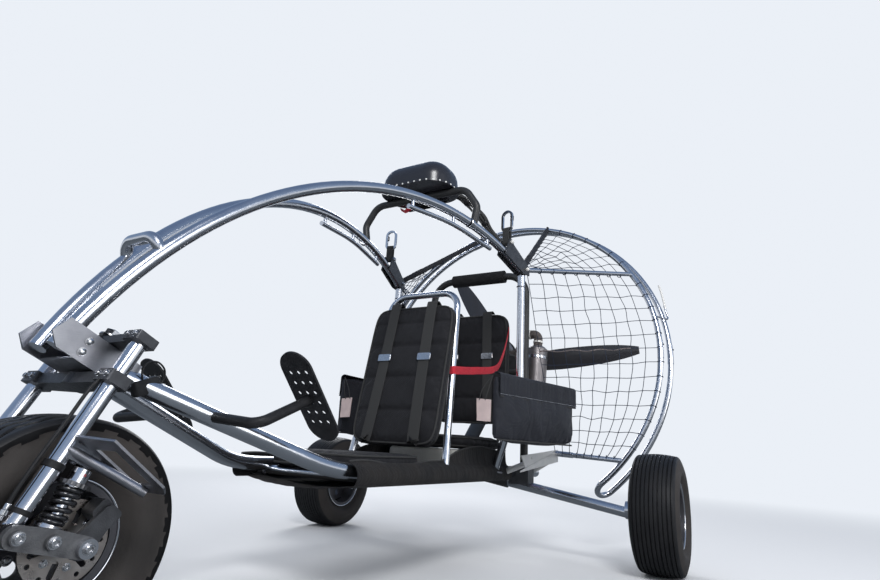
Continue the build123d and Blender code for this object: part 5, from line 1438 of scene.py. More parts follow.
@dataclass(frozen=True)
class Pad:
    """A stuffed pad with sewn channels across it and piping round both faces."""

    name: str
    centre: Point
    tilt: float
    length: float
    width: float
    seams: tuple[float, ...]
    thick: float = 0.050
    fill: float = 0.6
    piping: float = 0.0033

    def axes(self) -> Array:
        """The pad's axes as rows: along it, across it and out of its face."""
        return tilted(self.tilt)

    def placed(self, local: Array) -> Array:
        """Points of the pad's own axes, in the frame."""
        return local @ self.axes() + self.centre

    def own(self, points: Array) -> Array:
        """Points of the frame, in the pad's own axes."""
        return (points - self.centre) @ self.axes().T

    def rim(self, share: float, height: float, count: int = 120) -> Array:
        """A line round the pad.

        It is a superellipse of the seventh power whose sides are pulled in by 2.5 per
        cent halfway between the corners.
        """
        turn = angles(count)
        c, s = np.cos(turn), np.sin(turn)
        pull = share * (1 - 0.025 * np.cos(2 * turn) ** 2)
        return spread(np.sign(c) * np.abs(c) ** (2 / 7) * self.length / 2 * pull,
                      np.sign(s) * np.abs(s) ** (2 / 7) * self.width / 2 * pull, height)

    def shell(self) -> Shape:
        """The slack pad: a crowned closed form a little smaller than its solid."""
        half = self.thick / 2 - 0.005
        rows = ((0.0, -1.0), (0.5, -1.0), (0.9, -0.92), (0.965, -0.7), (0.985, 0.0), (0.965, 0.7),
                (0.9, 0.92), (0.5, 1.04), (0.0, 1.08))
        lines = [self.rim(share, height * half) for share, height in rows]
        return self.placed(np.concatenate(lines)), quads(len(rows), 120, False, True)

    def held(self, points: Array) -> Array:
        """How firmly the seams and the piped edges hold the cloth, from 0 to 1.

        Each seam holds by a bell curve of its distance, and so do both piped edges.
        """
        x, y, z = self.own(points).T
        hold = np.zeros(len(points))
        for seam in self.seams:
            hold = np.maximum(hold, np.exp(-(((x - seam) / 0.007) ** 2)))
        span = ((2 * np.abs(x) / self.length) ** 7 + (2 * np.abs(y) / self.width) ** 7) ** (1 / 7)
        edge = np.exp(-(((span - 0.945) / 0.018) ** 2)) * (np.abs(z) > self.thick * 0.22)
        return np.clip(np.maximum(hold, edge), 0, 1)

    def kept(self, points: Array) -> Array:
        """Keeps points in the pad's own solid, and draws them in along the seams."""
        local = self.own(points)
        for seam in self.seams:
            local[:, 2] *= 1 - 0.20 * np.exp(-(((local[:, 0] - seam) / 0.006) ** 2))
        half = np.array([self.length, self.width, self.thick]) / 2 - 0.0006
        return self.placed(np.clip(local, -half, half))

    def trim(self) -> Shape:
        """The piping round both faces."""
        half = (self.thick / 2 - 0.005) * 0.74
        lines = [even(self.rim(0.962, side * half), 110, True) for side in (-1, 1)]
        return joined([tube(self.placed(line), self.piping, 8, True) for line in lines])

    def stitches(self) -> Shape:
        """Short stitches in rows either side of each seam on the upper face."""
        height = (self.thick / 2 - 0.005) * 0.80
        places = []
        for seam in self.seams:
            for aside in (-0.0045, 0.0045):
                y = np.arange(-self.width * 0.44, self.width * 0.44, 0.0085)
                places.append(self.placed(spread(seam + aside, y, height)))
        stitch = turned([[0, -2.4], [0.7, -1.8], [0.7, 1.8], [0, 2.4]], 6)
        return set_at(stitch, np.concatenate(places), [0.0, 1.0, 0.0], 0.001)


@dataclass
class Seats:
    """The two seats: pads, belts, and the cloth under them."""

    belly_half: float = 0.194
    belly_sag: float = 0.017
    loop_radius: float = 0.0205
    cross_tube_x: float = -0.195
    belt_width: float = 0.044
    strap_width: float = 0.028
    pads: tuple[Pad, ...] = (
        Pad("front_seat_cushion", (0.1656, 0.0, 0.3383), 0.0, 0.380, 0.320, (-0.065, 0.065), fill=0.65),
        Pad("front_seat_back", (-0.1135, 0.0, 0.640), 101.4, 0.540, 0.360, (-0.14, -0.02, 0.10, 0.19)),
        Pad("rear_seat_cushion", (-0.4224, 0.0, 0.4126), 0.0, 0.360, 0.380, (-0.06, 0.06), fill=0.65),
        Pad("rear_seat_back", (-0.6461, 0.0, 0.735), 90.0, 0.500, 0.360, (-0.13, -0.01, 0.11)),
    )

    def build(self, stuffing: Stuffing) -> None:
        """Builds the pads, the belts and straps, the belly cloth and the skirts."""
        jobs = []
        for pad in self.pads:
            piece = make(f"{pad.name}_cover", pad.shell(), SEAT_CLOTH)
            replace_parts(piece, pad.name)
            jobs.append((piece, pad.held, pad.kept, 0.013, 0.007))
            make(f"{pad.name}_piping", pad.trim(), WEBBING)
            make(f"{pad.name}_stitches", pad.stitches(), LACING)
        stuffing.fill(jobs)
        for pad in (self.pads[1], self.pads[3]):
            self._belts(pad)
        self._side_straps()
        self._belly()
        self._skirts()

    def _belts(self, pad: Pad) -> None:
        """Lays two shoulder belts down a back pad, each with a slider."""
        top, low, face = pad.length / 2, -pad.length / 2 + 0.05, -pad.thick / 2 - 0.0015
        for side, sign in SIDES:
            spots = [[top - 0.004, 0.08, 0.010], [top + 0.002, 0.08, face + 0.010],
                     [top - 0.030, 0.08, face - 0.001], [0.02, 0.085, face - 0.001],
                     [low, 0.095, face - 0.002], [low - 0.030, 0.10, face - 0.003]]
            path = pad.placed(smooth(np.array(spots) * [1, sign, 1], 46))
            belt = band(path, [0.0, 1.0, 0.0], self.belt_width, 0.0024)
            make(f"{pad.name}_belt_{side}", belt, WEBBING)
            buckle = block(pad.placed(np.array([0.05, sign * 0.085, face - 0.004])), pad.axes(),
                           (0.014, 0.028, 0.003), 0.004)
            make(f"{pad.name}_slider_{side}", buckle, BOLT_STEEL)

    def _side_straps(self) -> None:
        """Red straps from the rear back to the front seat's hoop, one on each side."""
        straps = []
        for _, sign in SIDES:
            spots = [[-0.640, 0.176, 0.905], [-0.612, 0.183, 0.860], [-0.540, 0.193, 0.765],
                     [-0.465, 0.195, 0.703], [-0.300, 0.190, 0.672], [-0.176, 0.186, 0.655],
                     [-0.140, 0.182, 0.652], [-0.143, 0.164, 0.650]]
            path = smooth(np.array(spots) * [1, sign, 1], 60)
            straps.append(band(path, [0.0, 0.15, 1.0], self.strap_width, 0.0026))
        make("seat_side_straps", joined(straps), RED_WEBBING)

    def _skirts(self) -> None:
        """Cloth that wraps each rail beside the seats and stands up to the cushions.

        The section runs from the top edge down round the outside of the rail. The height
        of the top edge falls towards the front, and waves run along the cloth.
        """
        for side, sign in SIDES:
            x = np.linspace(-0.585, 0.405, 120)
            top = 0.345 + 0.055 / (1 + np.exp((x + 0.12) / 0.03)) - 0.012 * np.sin(9 * x) ** 2
            route = [[0.1955, 1.0, 0.0], [0.1965, 0.5, 0.0], [0.2005, 0.0, 0.338], [0.2175, 0.0, 0.326],
                     [0.2235, 0.0, 0.306], [0.2185, 0.0, 0.287], [0.2050, 0.0, 0.279]]
            lines = []
            for y, share, z in route:
                lines.append(spread(x, y, z if z else share * top + (1 - share) * 0.338))
            grid = np.stack([smooth(line, 22) for line in np.stack(lines, axis=1)])
            down = np.linspace(0, 1, 22)
            wave = 0.0016 * np.sin(61 * x)[:, None] + 0.0012 * np.sin(143 * x[:, None] + 5 * down)
            grid[..., 1] += np.abs(wave) * np.sin(np.pi * down)
            grid = grid * [1, sign, 1]
            make(f"seat_skirt_{side}", slab(grid, 0.0018), BELLY_CLOTH)
            make(f"seat_skirt_hem_{side}", tube(grid[:, 0], 0.0026, 7), WEBBING)

    def _belly(self) -> None:
        """Hangs the cloth between the rails, with strap loops round them.

        The height is a parabola that is lowest in the middle, and small waves of two
        lengths run across and along it.
        """
        low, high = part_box("seat_belly")
        half = self.belly_half
        x = np.linspace(low.x + 0.004, high.x - 0.004, 130)[:, None]
        y = np.linspace(-half, half, 60)[None, :]
        sag = self.belly_sag * (1 - (y / half) ** 2)
        waves = 0.0016 * np.sin(34 * x + 9 * y) * np.cos(31 * y) + 0.0009 * np.sin(83 * y + 12 * x)
        grid = spread(x, y, high.z - 0.0026 - sag - np.abs(waves))
        cloth = make("belly_cloth", slab(grid, 0.0016), BELLY_CLOTH)
        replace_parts(cloth, "seat_belly")
        loops = []
        for spot in np.linspace(low.x + 0.06, high.x - 0.05, 9):
            if abs(spot - self.cross_tube_x) < 0.03:
                continue
            for _, sign in SIDES:
                turn = np.linspace(-1.15 * np.pi, 0.3 * np.pi, 26)
                ring = spread(spot, sign * (LAYOUT.rail_y - self.loop_radius * np.cos(turn)),
                              LAYOUT.rail_z + self.loop_radius * np.sin(turn))
                loops.append(band(ring, [1.0, 0.0, 0.0], 0.024, 0.0018))
        make("belly_straps", joined(loops), WEBBING)


@dataclass
class SideBags:
    """Two wedge-shaped bags beside the rear seat, with flaps, zips, ties and piping."""

    inner: float = 0.3195
    front: float = -0.170
    back: float = -0.634
    low: float = 0.416
    high: float = 0.644
    widest: float = 0.483
    room: float = 0.008
    panel: tuple[tuple[Point, Point], ...] = (
        ((-0.160, 0.321, 0.552), (-0.157, 0.268, 0.556)), ((-0.160, 0.321, 0.480), (-0.157, 0.272, 0.482)),
    )
    panel_cords: Pair = (0.278, 0.300)

    def outer(self, x: Array) -> Array:
        """How far out the bag reaches at a station, which grows evenly to the back."""
        share = (self.front - np.asarray(x, float)) / (self.front - self.back)
        return self.inner + 0.020 + 0.132 * np.clip(share, 0, 1) * 0.97

    def section(self, x: Array, angle: Array, shrink: Array) -> Array:
        """Points round the bag at its stations.

        Each section is a superellipse of about the fourth power whose lower half hangs a
        little further out than its upper half.
        """
        half = (self.outer(x) - self.inner) / 2 * shrink
        middle = self.inner + (self.outer(x) - self.inner) / 2
        c, s = np.cos(angle), np.sin(angle)
        y = middle + half * np.sign(c) * np.abs(c) ** 0.5 * (1 - 0.05 * s)
        z = (self.high + self.low) / 2 + shrink * (self.high - self.low) / 2 * np.sign(s) * np.abs(s) ** 0.42
        return spread(x, y, z)

    def build(self, stuffing: Stuffing) -> None:
        """Builds both bags, blows them up and dresses them."""
        middle = np.linspace(0, 1, 26)
        share = np.concatenate([[0, 0], middle, [1, 1]])
        full = np.minimum(1.0, 0.90 + 0.4 * np.minimum(middle, 1 - middle))
        shrink = np.concatenate([[0.0, 0.6], full, [0.6, 0.0]])
        stations = (self.front + (self.back - self.front) * share)[:, None]
        points = self.section(stations, angles(64)[None, :], shrink[:, None]).reshape(-1, 3)
        faces = quads(30, 64, False, True)
        # The bags' nylon carries a painted blue sheen in its colour.
        bags = make("side_bag_bodies", joined([(points * [1, sign, 1], faces) for _, sign in SIDES]), CLOTH,
                    merge=1e-5)
        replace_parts(bags, "side_bags")
        stuffing.fill([(bags, self.held, self.kept, 0.016, 0.0075)])
        for side, sign in SIDES:
            self._dress(side, sign)

    def held(self, points: Array) -> Array:
        """The inner face, the top and the bottom edge are held, by bell curves of distance."""
        x, y, z = points[:, 0], np.abs(points[:, 1]), points[:, 2]
        inner = np.exp(-(((y - self.inner) / 0.010) ** 2))
        top = np.exp(-(((z - self.high) / 0.035) ** 2))
        bottom = np.exp(-(((z - self.low) / 0.010) ** 2))
        corner = np.exp(-((np.hypot(x - self.back, y - self.outer(x)) / 0.02) ** 2))
        return np.clip(np.maximum.reduce([inner, top, bottom, 0.7 * corner]), 0, 1)

    def kept(self, points: Array) -> Array:
        """Keeps the cloth off the uprights and adds slack folds that fall from the top.

        The folds are waves along the bag whose reach fades towards the top.
        """
        kept = points.copy()
        side = np.sign(points[:, 1])
        y = np.abs(points[:, 1])
        fade = np.clip((self.high - 0.06 - points[:, 2]) / 0.15, 0, 1) * (y > self.inner + 0.02)
        fold = 0.0022 * np.sin(points[:, 0] * 31 + points[:, 2] * 34) + 0.0010 * np.sin(
            points[:, 0] * 67 - points[:, 2] * 90)
        kept[:, 1] = side * np.clip(y + fold * fade, self.inner - 0.0008, self.widest)
        kept[:, 0] = np.clip(points[:, 0], self.back - self.room, self.front + self.room + 0.002)
        kept[:, 2] = np.clip(points[:, 2], self.low - self.room, self.high + self.room - 0.002)
        return kept

    def _dress(self, side: str, sign: int) -> None:
        """Adds the flap, the piping, the zip and the pale panel with its ties to one bag."""
        x = np.linspace(self.front - 0.004, self.back + 0.004, 44)
        reach = self.outer(x)
        route = [spread(x, self.inner + 0.004, self.high + 0.002)]
        for out, z in ((0.35, 0.0036), (0.75, 0.0034), (0.97, -0.004), (1.0, -0.022), (1.0, -0.045),
                       (1.0, -0.066), (0.99, -0.078)):
            edge = 0.006 if z < 0 else 0.0
            route.append(spread(x, self.inner + (reach - self.inner) * out + edge, self.high + z))
        grid = np.stack([smooth(line, 26) for line in np.stack(route, axis=1)])
        grid[..., 1] += 0.0013 * np.sin(x * 95)[:, None] * np.linspace(0, 1, 26) ** 2
        make(f"bag_flap_{side}", slab(grid * [1, sign, 1], 0.0022), CLOTH)
        make(f"bag_hem_{side}", tube(grid[:, -1] * [1, sign, 1], 0.0024, 7), WEBBING)
        bottom = self.section(x[:, None], np.full((1, 1), -0.30 * np.pi), np.full((44, 1), 0.985))[:, 0]
        make(f"bag_piping_{side}", tube((bottom + [0, 0.002, -0.003]) * [1, sign, 1], 0.0030, 8), WEBBING)
        teeth = even(grid[:, -1] + [0.0, 0.0030, 0.0075], 150) * [1, sign, 1]
        tooth = turned([[0, -0.9], [1.0, -0.7], [1.0, 0.7], [0, 0.9]], 6)
        make(f"bag_zip_{side}", set_at(tooth, teeth, [1.0, 0.0, 0.0], 0.0011), BOLT_STEEL)
        panel = np.stack([smooth(row, 8) for row in self.panel]) * [1, sign, 1]
        make(f"bag_panel_{side}", slab(panel, 0.0016), PALE_PANEL)
        cords = []
        for spot in self.panel_cords:
            line = smooth(np.array([[-0.1565, spot, 0.550], [-0.158, spot + 0.012, 0.590],
                                    [-0.167, 0.322, 0.636]]) * [1, sign, 1], 20)
            cords.append(tube(line, 0.0016, 7))
        make(f"bag_panel_ties_{side}", joined(cords), WEBBING)


@dataclass
class Reserve:
    """The reserve container's rivets, lip, handle, bracket, strap bundle and clamps."""

    centre: Pair = (-0.1244, 0.0)
    base: float = 1.352
    half_x: float = 0.106
    half_y: float = 0.156
    corner: float = 0.092
    rivet_count: int = 34
    bracket: Pair = (1.3500, 1.322)

    def build(self) -> None:
        """Dresses the container and adds what is on it."""
        dress(SHELL, "reserve_container")
        ring = rounded(self.half_x, self.half_y, self.corner, self.rivet_count)
        x, y = (ring + self.centre).T
        step_x, step_y = (np.roll(ring, -1, axis=0) - np.roll(ring, 1, axis=0)).T
        spots, out = spread(x, y, self.base + 0.0036), spread(step_y, -step_x, 0.0)
        head = turned([[0, 0.0014], [0.0018, 0.0013], [0.0032, 0.0006], [0.0035, -0.0002], [0, -0.0002]], 14)
        make("reserve_rivets", set_at(head, spots, out), RIVET)
        x, y = (ring * 0.93 + self.centre).T
        make("reserve_lip", tube(spread(x, y, self.base + 0.0085), 0.0022, 8, True), SHELL)
        handle = smooth([[-0.165, -0.060, 1.3500], [-0.178, -0.075, 1.337], [-0.188, -0.100, 1.330],
                         [-0.200, -0.125, 1.333], [-0.205, -0.140, 1.3500]], 34)
        make("reserve_handle", band(handle, [1.0, -0.4, 0.2], 0.020, 0.0045), RED_WEBBING)
        top, foot = self.bracket
        plate = (((-0.205, 0.090, top), (-0.205, -0.120, top)),
                 ((-0.190, 0.060, foot), (-0.190, -0.090, foot)))
        make("reserve_bracket", slab(np.stack([smooth(row, 12) for row in plate]), 0.003), BLACK_TUBE)
        folds = []
        for shift in (-0.012, 0.004, 0.018):
            line = smooth([[-0.205, 0.060 + shift, 1.378], [-0.236, 0.100 + shift, 1.380],
                           [-0.262, 0.140 + shift, 1.356], [-0.292, 0.185 + shift, 1.300],
                           [-0.318, 0.226 + shift * 0.5, 1.232], [-0.338, 0.262, 1.196]], 60)
            folds.append(tube(line, 0.0062 + 0.0012 * np.cos(np.linspace(0, 30, 60)), 9, flat=0.7))
        make("reserve_bridle", joined(folds), WEBBING)
        knots = [ring_at([-0.262, 0.143, 1.356], [-0.5, 0.7, -0.9], 0.0150, 0.0030, 0.016),
                 ring_at([-0.305, 0.206, 1.268], [-0.4, 0.6, -1.0], 0.0135, 0.0030, 0.014)]
        make("bridle_keepers", joined(knots), HOSE)
        feet = []
        for _, sign in SIDES:
            foot = LAYOUT.hoop(0.560, sign)
            feet.append(ring_at(foot + [0.022, 0, -0.001], LAYOUT.hoop(0.62, sign) - LAYOUT.hoop(0.56, sign),
                                LAYOUT.hoop_radius, 0.0022, 0.018))
        make("bridge_clamps", joined(feet), BOLT_STEEL)


@dataclass
class HangPoints:
    """Ball heads, nuts and sleeves of the two hang points."""

    bolt: Pair = (-0.346, 1.187)
    boss: Pair = (-0.462, 1.107)
    heading: float = 10.2
    plate: float = 0.0051
    ball_radius: float = 0.0075

    def build(self) -> None:
        """Dresses the nodes and adds the bolts on both sides."""
        dress(WEBBING, "hang_straps")
        dress(POLISHED_LEG, "carabiners")
        balls, nuts, gates = [], [], []
        heading = math.radians(self.heading)
        face_at = LAYOUT.hoop_radius + self.plate
        ball = turned([[0, 0], [0.8, 0], [0.8, 0.25], [1.0, 0.7], [0.95, 1.15], [0.6, 1.55], [0, 1.7]], 20)
        for _, sign in SIDES:
            out = np.array([math.sin(heading), sign * math.cos(heading), 0.0])
            for x, z in (self.bolt, self.boss):
                middle = LAYOUT.hoop(x - LAYOUT.rear_axle_x, sign)
                face = np.array([x, middle[1], z]) + out * face_at
                balls.append(set_at(ball, face, out, self.ball_radius))
                nuts.append(set_at(hex_bolt(0.008, 0.008), face - out * 2 * face_at, -out))
            low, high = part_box("carabiners")
            spot = np.array([(low.x + high.x) / 2, sign * (high.y - 0.0065), (low.z + high.z) / 2 + 0.012])
            gates.append(ring_at(spot, [0.0, 0.0, 1.0], 0.0062, 0.0014, 0.020))
        make("hang_ball_heads", joined(balls), CAP_WHITE)
        make("hang_nuts", joined(nuts), BOLT_STEEL)
        make("carabiner_sleeves", joined(gates), DARK_BOLT)


@dataclass
class Engine:
    """The engine, its exhaust and the propeller, in the cage's leaning frame."""

    crank_up: float = -0.172
    face: float = 0.2182
    cover: float = 0.2421
    cylinder_mid: float = 0.142
    head_top: float = 0.0401
    head_half: float = 0.044
    pipe_radius: float = 0.0202
    silencer_aside: float = 0.235
    silencer_radius: float = 0.0461
    strap_ups: Pair = (-0.050, -0.190)
    airbox_radius: float = 0.0561
    hub_back: float = -0.1075

    def build(self) -> None:
        """Dresses the nodes and adds fasteners, the plug, the coil and clamps."""
        dress(ENGINE_ALLOY, "crankcase")
        dress(ENGINE_BLACK, "engine_cylinder", "airbox")
        dress(HUB_ALLOY, "lower_pulley", "propeller_hub")
        dress(BELT, "drive_belt")
        dress(HEAT_WRAP, "exhaust_pipe")
        dress(EXHAUST, "silencer")
        dress(CARBON, "propeller_blades")
        self._fasteners()
        self._plug()
        self._exhaust()
        self._hub()

    def _circle(self, radius: float, count: int, up: float, ahead: float, phase: float = 0.0) -> Array:
        """Points of a bolt circle in the cage's frame."""
        turn = np.radians(np.arange(count) * 360.0 / count + phase)
        return LAYOUT.cage(radius * np.cos(turn), up + radius * np.sin(turn), ahead)

    def _fasteners(self) -> None:
        """Sets the bolts, the starter's ribs and handle, and the cylinder head's nuts."""
        axis = LAYOUT.cage_axis()
        spots = self._circle(0.077, 8, self.crank_up, self.face, 22.5)
        make("mount_bolts", set_at(cap_bolt(0.0055, 0.006), spots, axis), BOLT_STEEL)
        cover = self._circle(0.052, 6, self.crank_up, self.cover)
        make("starter_bolts", set_at(cap_bolt(0.0042, 0.004), cover, axis), DARK_BOLT)
        ends = [self._circle(radius, 16, self.crank_up, self.cover + 0.0001) for radius in (0.020, 0.042)]
        ribs = [tube(straight(a, b, 3), 0.0026, 8) for a, b in zip(*ends)]
        make("starter_ribs", joined(ribs), ENGINE_BLACK)
        handle = block(np.zeros(3), np.eye(3), (0.018, 0.006, 0.006), 0.004)
        place = LAYOUT.cage(0.0, self.crank_up + 0.058, self.cover + 0.0057)
        make("starter_handle", set_at(handle, place, axis), PEDAL)
        half = self.head_half
        nuts = np.stack([LAYOUT.cage(a, self.head_top, self.cylinder_mid + b)
                         for a in (-half, half) for b in (-half, half)])
        make("head_nuts", set_at(hex_bolt(0.006, 0.008), nuts, LAYOUT.cage_up()), BOLT_STEEL)

    def _plug(self) -> None:
        """Sets a bare spark plug in the cylinder's head and the ignition coil on the crankcase."""
        seat = LAYOUT.cage(0.0, 0.060, self.cylinder_mid)
        body = turned([[0, 0], [0.0105, 0], [0.0105, 0.008], [0.0085, 0.010], [0.0085, 0.014],
                       [0, 0.0145]], 20)
        insulator = turned([[0, 0.0140], [0.0058, 0.0140], [0.0050, 0.030], [0.0030, 0.031],
                            [0.0030, 0.036], [0, 0.037]], 20)
        make("plug_body", set_at(body, seat, LAYOUT.cage_up()), BOLT_STEEL)
        make("plug_insulator", set_at(insulator, seat, LAYOUT.cage_up()), CAP_WHITE)
        coil = block(LAYOUT.cage(0.082, -0.118, 0.196), np.eye(3), (0.016, 0.014, 0.020), 0.005)
        make("ignition_coil", coil, ENGINE_BLACK)

    def _exhaust(self) -> None:
        """Clamps the wrapped pipe, straps the silencer and the airbox and adds the outlet."""
        mid, pipe = self.cylinder_mid, self.silencer_aside
        up, aside = LAYOUT.cage_up(), [0.0, 1.0, 0.0]
        pale = [ring_at(LAYOUT.cage(x, u, mid), along, self.pipe_radius, 0.0022, 0.010)
                for x, u, along in ((0.072, -0.026, aside), (pipe, 0.030, up), (0.195, 0.070, aside))]
        make("exhaust_clamps", joined(pale), CAP_WHITE)
        straps = [ring_at(LAYOUT.cage(pipe, u, mid), up, self.silencer_radius, 0.0016, 0.016)
                  for u in self.strap_ups]
        make("silencer_straps", joined(straps), BOLT_STEEL)
        arms = [tube(smooth([LAYOUT.cage(0.190, u, mid), LAYOUT.cage(0.150, u, 0.18),
                             LAYOUT.cage(0.120, u, 0.214)], 14), 0.006, 10) for u in self.strap_ups]
        make("silencer_arms", joined(arms), BLACK_TUBE)
        out = smooth([LAYOUT.cage(pipe, -0.243, mid), LAYOUT.cage(pipe, -0.262, mid),
                      LAYOUT.cage(0.250, -0.276, mid - 0.01)], 16)
        make("exhaust_outlet", tube(out, 0.012, 18), EXHAUST)
        bands = [ring_at(LAYOUT.cage(-0.190, u, mid), up, self.airbox_radius, 0.0012, 0.010)
                 for u in (0.015, -0.105)]
        make("airbox_bands", joined(bands), BOLT_STEEL)

    def _hub(self) -> None:
        """Bolts the propeller's hub, with a plate behind the bolts' heads."""
        back = -LAYOUT.cage_axis()
        spots = self._circle(0.036, 6, 0.0, self.hub_back - 0.002)
        plate = turned([[0, 0], [0.046, 0], [0.046, 0.0025], [0.044, 0.0035], [0, 0.0035]], 48)
        plate = set_at(plate, LAYOUT.cage(0.0, 0.0, self.hub_back), back)
        make("hub_plate", plate, HUB_ALLOY, Body.PROPELLER)
        make("hub_bolts", set_at(hex_bolt(0.0075, 0.009), spots + back * 0.0015, back), BOLT_STEEL,
             Body.PROPELLER)


@dataclass
class Frame:
    """The tube frame: finishes of its nodes, weld beads, joint bolts and small pieces."""

    upright_x: float = -0.462
    upright_bead: float = 0.0150
    cross_tubes_x: Point = (-0.196, 0.318, -0.897)
    cross_bead: float = 0.0135
    brace_bead: float = 0.0132
    hub_face: float = 0.8133
    head_face: float = 0.0602
    gusset_y: float = 0.309
    switch_box: Point = (0.893, 0.064, 0.470)
    switch_tilt: float = -22.0
    cable_width: float = 0.0038
    cable_loop: tuple[Point, ...] = (
        (0.012, 0.006, 0.008), (0.017, 0.006, 0.028), (0.008, 0.006, 0.045), (-0.012, 0.005, 0.049),
        (-0.029, 0.004, 0.038), (-0.033, 0.003, 0.020), (-0.026, 0.002, 0.004),
    )
    hose_width: float = 0.0064
    hose_route: tuple[Point, ...] = (
        (0.026, 0.124, -0.053), (0.031, 0.125, -0.080), (0.032, 0.128, -0.140), (0.034, 0.130, -0.200),
        (0.033, 0.131, -0.250), (0.030, 0.1305, -0.276),
    )

    def build(self) -> None:
        """Dresses the frame's nodes and adds its fasteners."""
        dress(POLISHED, "hoop_left", "hoop_right", "hoop_braces", "rail_left", "rail_right", "uprights",
              "cross_tubes", "front_seat_hoop", "axle_legs")
        dress(BRUSHED, "steering_head")
        dress(RACK_SHEET, "side_racks")
        dress(BLACK_TUBE, "axle_sleeve", "roll_bar", "reserve_bridge")
        dress(DARK_CAST, "axle_clamps", "engine_mount", "hang_brackets")
        dress(FOAM, "roll_bar_pad")
        dress(TANK, "fuel_tank")
        dress(PEDAL, "pedals")
        self._welds()
        self._bolts()
        self._switch()
        self._brake_hose()
        self._gussets()
        self._tank()

    def _welds(self) -> None:
        """Beads where the tubes meet."""
        beads = []
        for _, sign in SIDES:
            foot = np.array([self.upright_x, sign * 0.219, LAYOUT.rail_z + 0.006])
            beads.append(weld(foot, [0.0, sign * 0.12, 1.0], self.upright_bead))
            inner = sign * (LAYOUT.rail_y - LAYOUT.rail_radius + 0.001)
            for x in self.cross_tubes_x:
                beads.append(weld([x, inner, 0.299], [0.0, 1.0, 0.0], self.cross_bead))
            for z in (0.540, 0.720):
                spot = np.array([LAYOUT.rear_axle_x, sign * 0.227, z])
                beads.append(weld(spot, [0.0, 1.0, 0.0], self.brace_bead))
            apex = LAYOUT.hoop(0.240, sign, 0.040)
            spot = np.array([self.upright_x, apex[1] * 0.995, apex[2] - 0.030])
            beads.append(weld(spot, [0.0, sign * 0.1, 1.0], self.upright_bead))
        make("weld_beads", joined(beads), BRUSHED)

    def _bolts(self) -> None:
        """Nuts on the rear hubs, bolts on the axle clamps and on the steering head's plates."""
        nuts, bolts = [], []
        clamp_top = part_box("axle_clamps")[1].z
        for _, sign in SIDES:
            hub = LAYOUT.at(0.0, sign * self.hub_face, LAYOUT.rear_axle_z)
            nuts.append(set_at(hex_bolt(0.012, 0.011), hub, [0.0, sign, 0.0]))
            clamps = [[LAYOUT.rear_axle_x + x, sign * y, clamp_top]
                      for x in (-0.0198, 0.0198) for y in (0.238, 0.256)]
            bolts.append(set_at(cap_bolt(0.0045, 0.005), clamps, [0.0, 0.0, 1.0]))
            plates = [LAYOUT.head(v, sign * self.head_face, u)
                      for v, u in ((-0.018, 0.014), (-0.018, -0.016), (0.052, 0.010), (0.052, -0.012))]
            bolts.append(set_at(hex_bolt(0.006, 0.006), plates, [0.0, sign, 0.0]))
        make("hub_nuts", joined(nuts), BOLT_STEEL)
        make("frame_bolts", joined(bolts), BOLT_STEEL)

    def _switch(self) -> None:
        """The dark switch box by the head and the loop of its cable."""
        box_at = np.array(self.switch_box)
        box = block(box_at, tilted(self.switch_tilt), (0.028, 0.010, 0.015), 0.006)
        make("switch_box", box, PEDAL)
        path = smooth(box_at + np.array(self.cable_loop), 60)
        loop = make("switch_cable", tube(path, self.cable_width / 2, 9), HOSE)

    def _brake_hose(self) -> None:
        """The brake hose down the left leg, and the union and the clip that end it."""
        path = smooth([LAYOUT.head(*spot) for spot in self.hose_route], 80)
        hose = make("brake_hose", tube(path, self.hose_width / 2, 10), HOSE, Body.STEERING)
        union = turned([[0, -0.008], [0.0041, -0.008], [0.0044, -0.007], [0.0044, 0.0], [0.0056, 0.001],
                        [0.0056, 0.008], [0.0036, 0.009], [0.0036, 0.015], [0, 0.015]], 18)
        fitting = make("hose_union", set_at(union, path[-1], unit(path[-1] - path[-4])), BOLT_STEEL,
                       Body.STEERING)
        axis = LAYOUT.head_axis()
        leg = LAYOUT.head(LAYOUT.leg_lead, LAYOUT.leg_spread, -0.272)
        aside = path[-1] - leg
        aside = unit(aside - axis * np.dot(aside, axis))
        axes = np.array([aside, axis, np.cross(aside, axis)])
        lug = block(leg + aside * 0.0180, axes, (0.0040, 0.0035, 0.0042), 0.001)
        ring = turned([[0.0149, -0.004], [0.0165, -0.0035], [0.0165, 0.0035], [0.0149, 0.004]], 40, True)
        make("hose_clip", joined([lug, set_at(ring, leg, axis)]), HOSE, Body.STEERING)

    def _gussets(self) -> None:
        """Pale sheet corners behind the uprights, and sleeves on the roots of the cage's spokes."""
        sleeves = []
        for side, sign in SIDES:
            y = sign * self.gusset_y
            upper = straight([self.upright_x, y, 0.322], [-0.905, y, 0.402], 14)
            lower = straight([self.upright_x, y, 0.316], [-0.860, y, 0.352], 14)
            make(f"rack_gusset_{side}", slab(np.stack([upper, lower], axis=1), 0.0018), RACK_SHEET)
            forward, aside, high = Cage.spoke_start
            root = LAYOUT.at(forward, sign * aside, high)
            along = unit(LAYOUT.ring(on_side(Cage.spoke_angle, sign), LAYOUT.cage_front_radius) - root)
            sleeves.append(tube(straight(root + along * 0.004, root + along * 0.075, 6), 0.0122, 18))
        make("spoke_sleeves", joined(sleeves), POLISHED_LEG)

    def _tank(self) -> None:
        """A filler cap on the tank's left shoulder."""
        low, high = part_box("fuel_tank")
        cap = turned([[0, 0], [0.019, 0], [0.019, 0.010], [0.017, 0.013], [0, 0.013]], 30)
        spot = np.array([high.x - 0.0005, 0.11, (low.z + high.z) / 2])
        make("tank_cap", set_at(cap, spot, [1.0, 0.0, 0.0]), PEDAL)


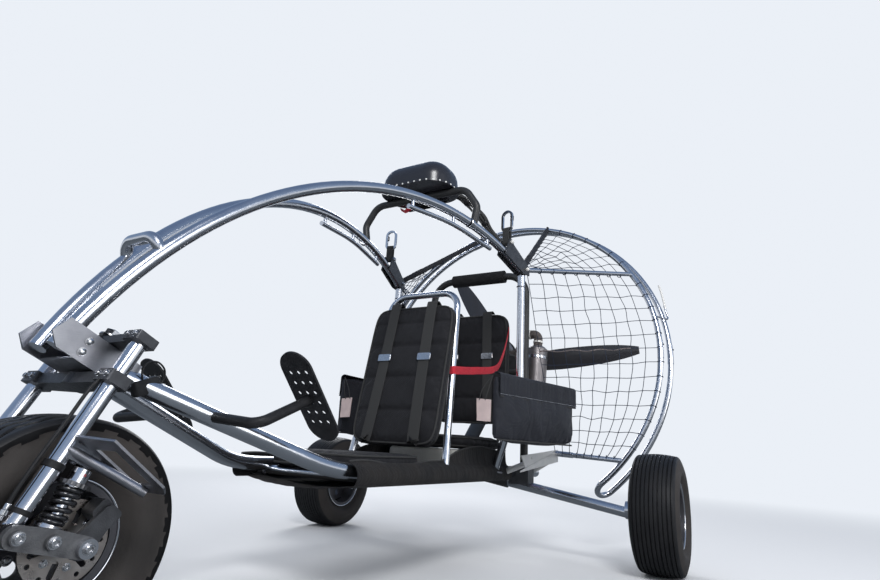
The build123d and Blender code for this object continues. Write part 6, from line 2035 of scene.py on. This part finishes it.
def main() -> None:
    """Loads the frame, builds every sub-assembly in order and notes the sizes."""
    logging.basicConfig(level=logging.INFO, format="%(name)s %(message)s")
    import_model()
    Studio().build()
    stuffing = Stuffing()
    for assembly in (Wheels(), Fork(), Cage(), Frame(), Reserve(), HangPoints(), Engine()):
        assembly.build()
    for assembly in (Seats(), SideBags()):
        assembly.build(stuffing)


if __name__ == "__main__":
    main()
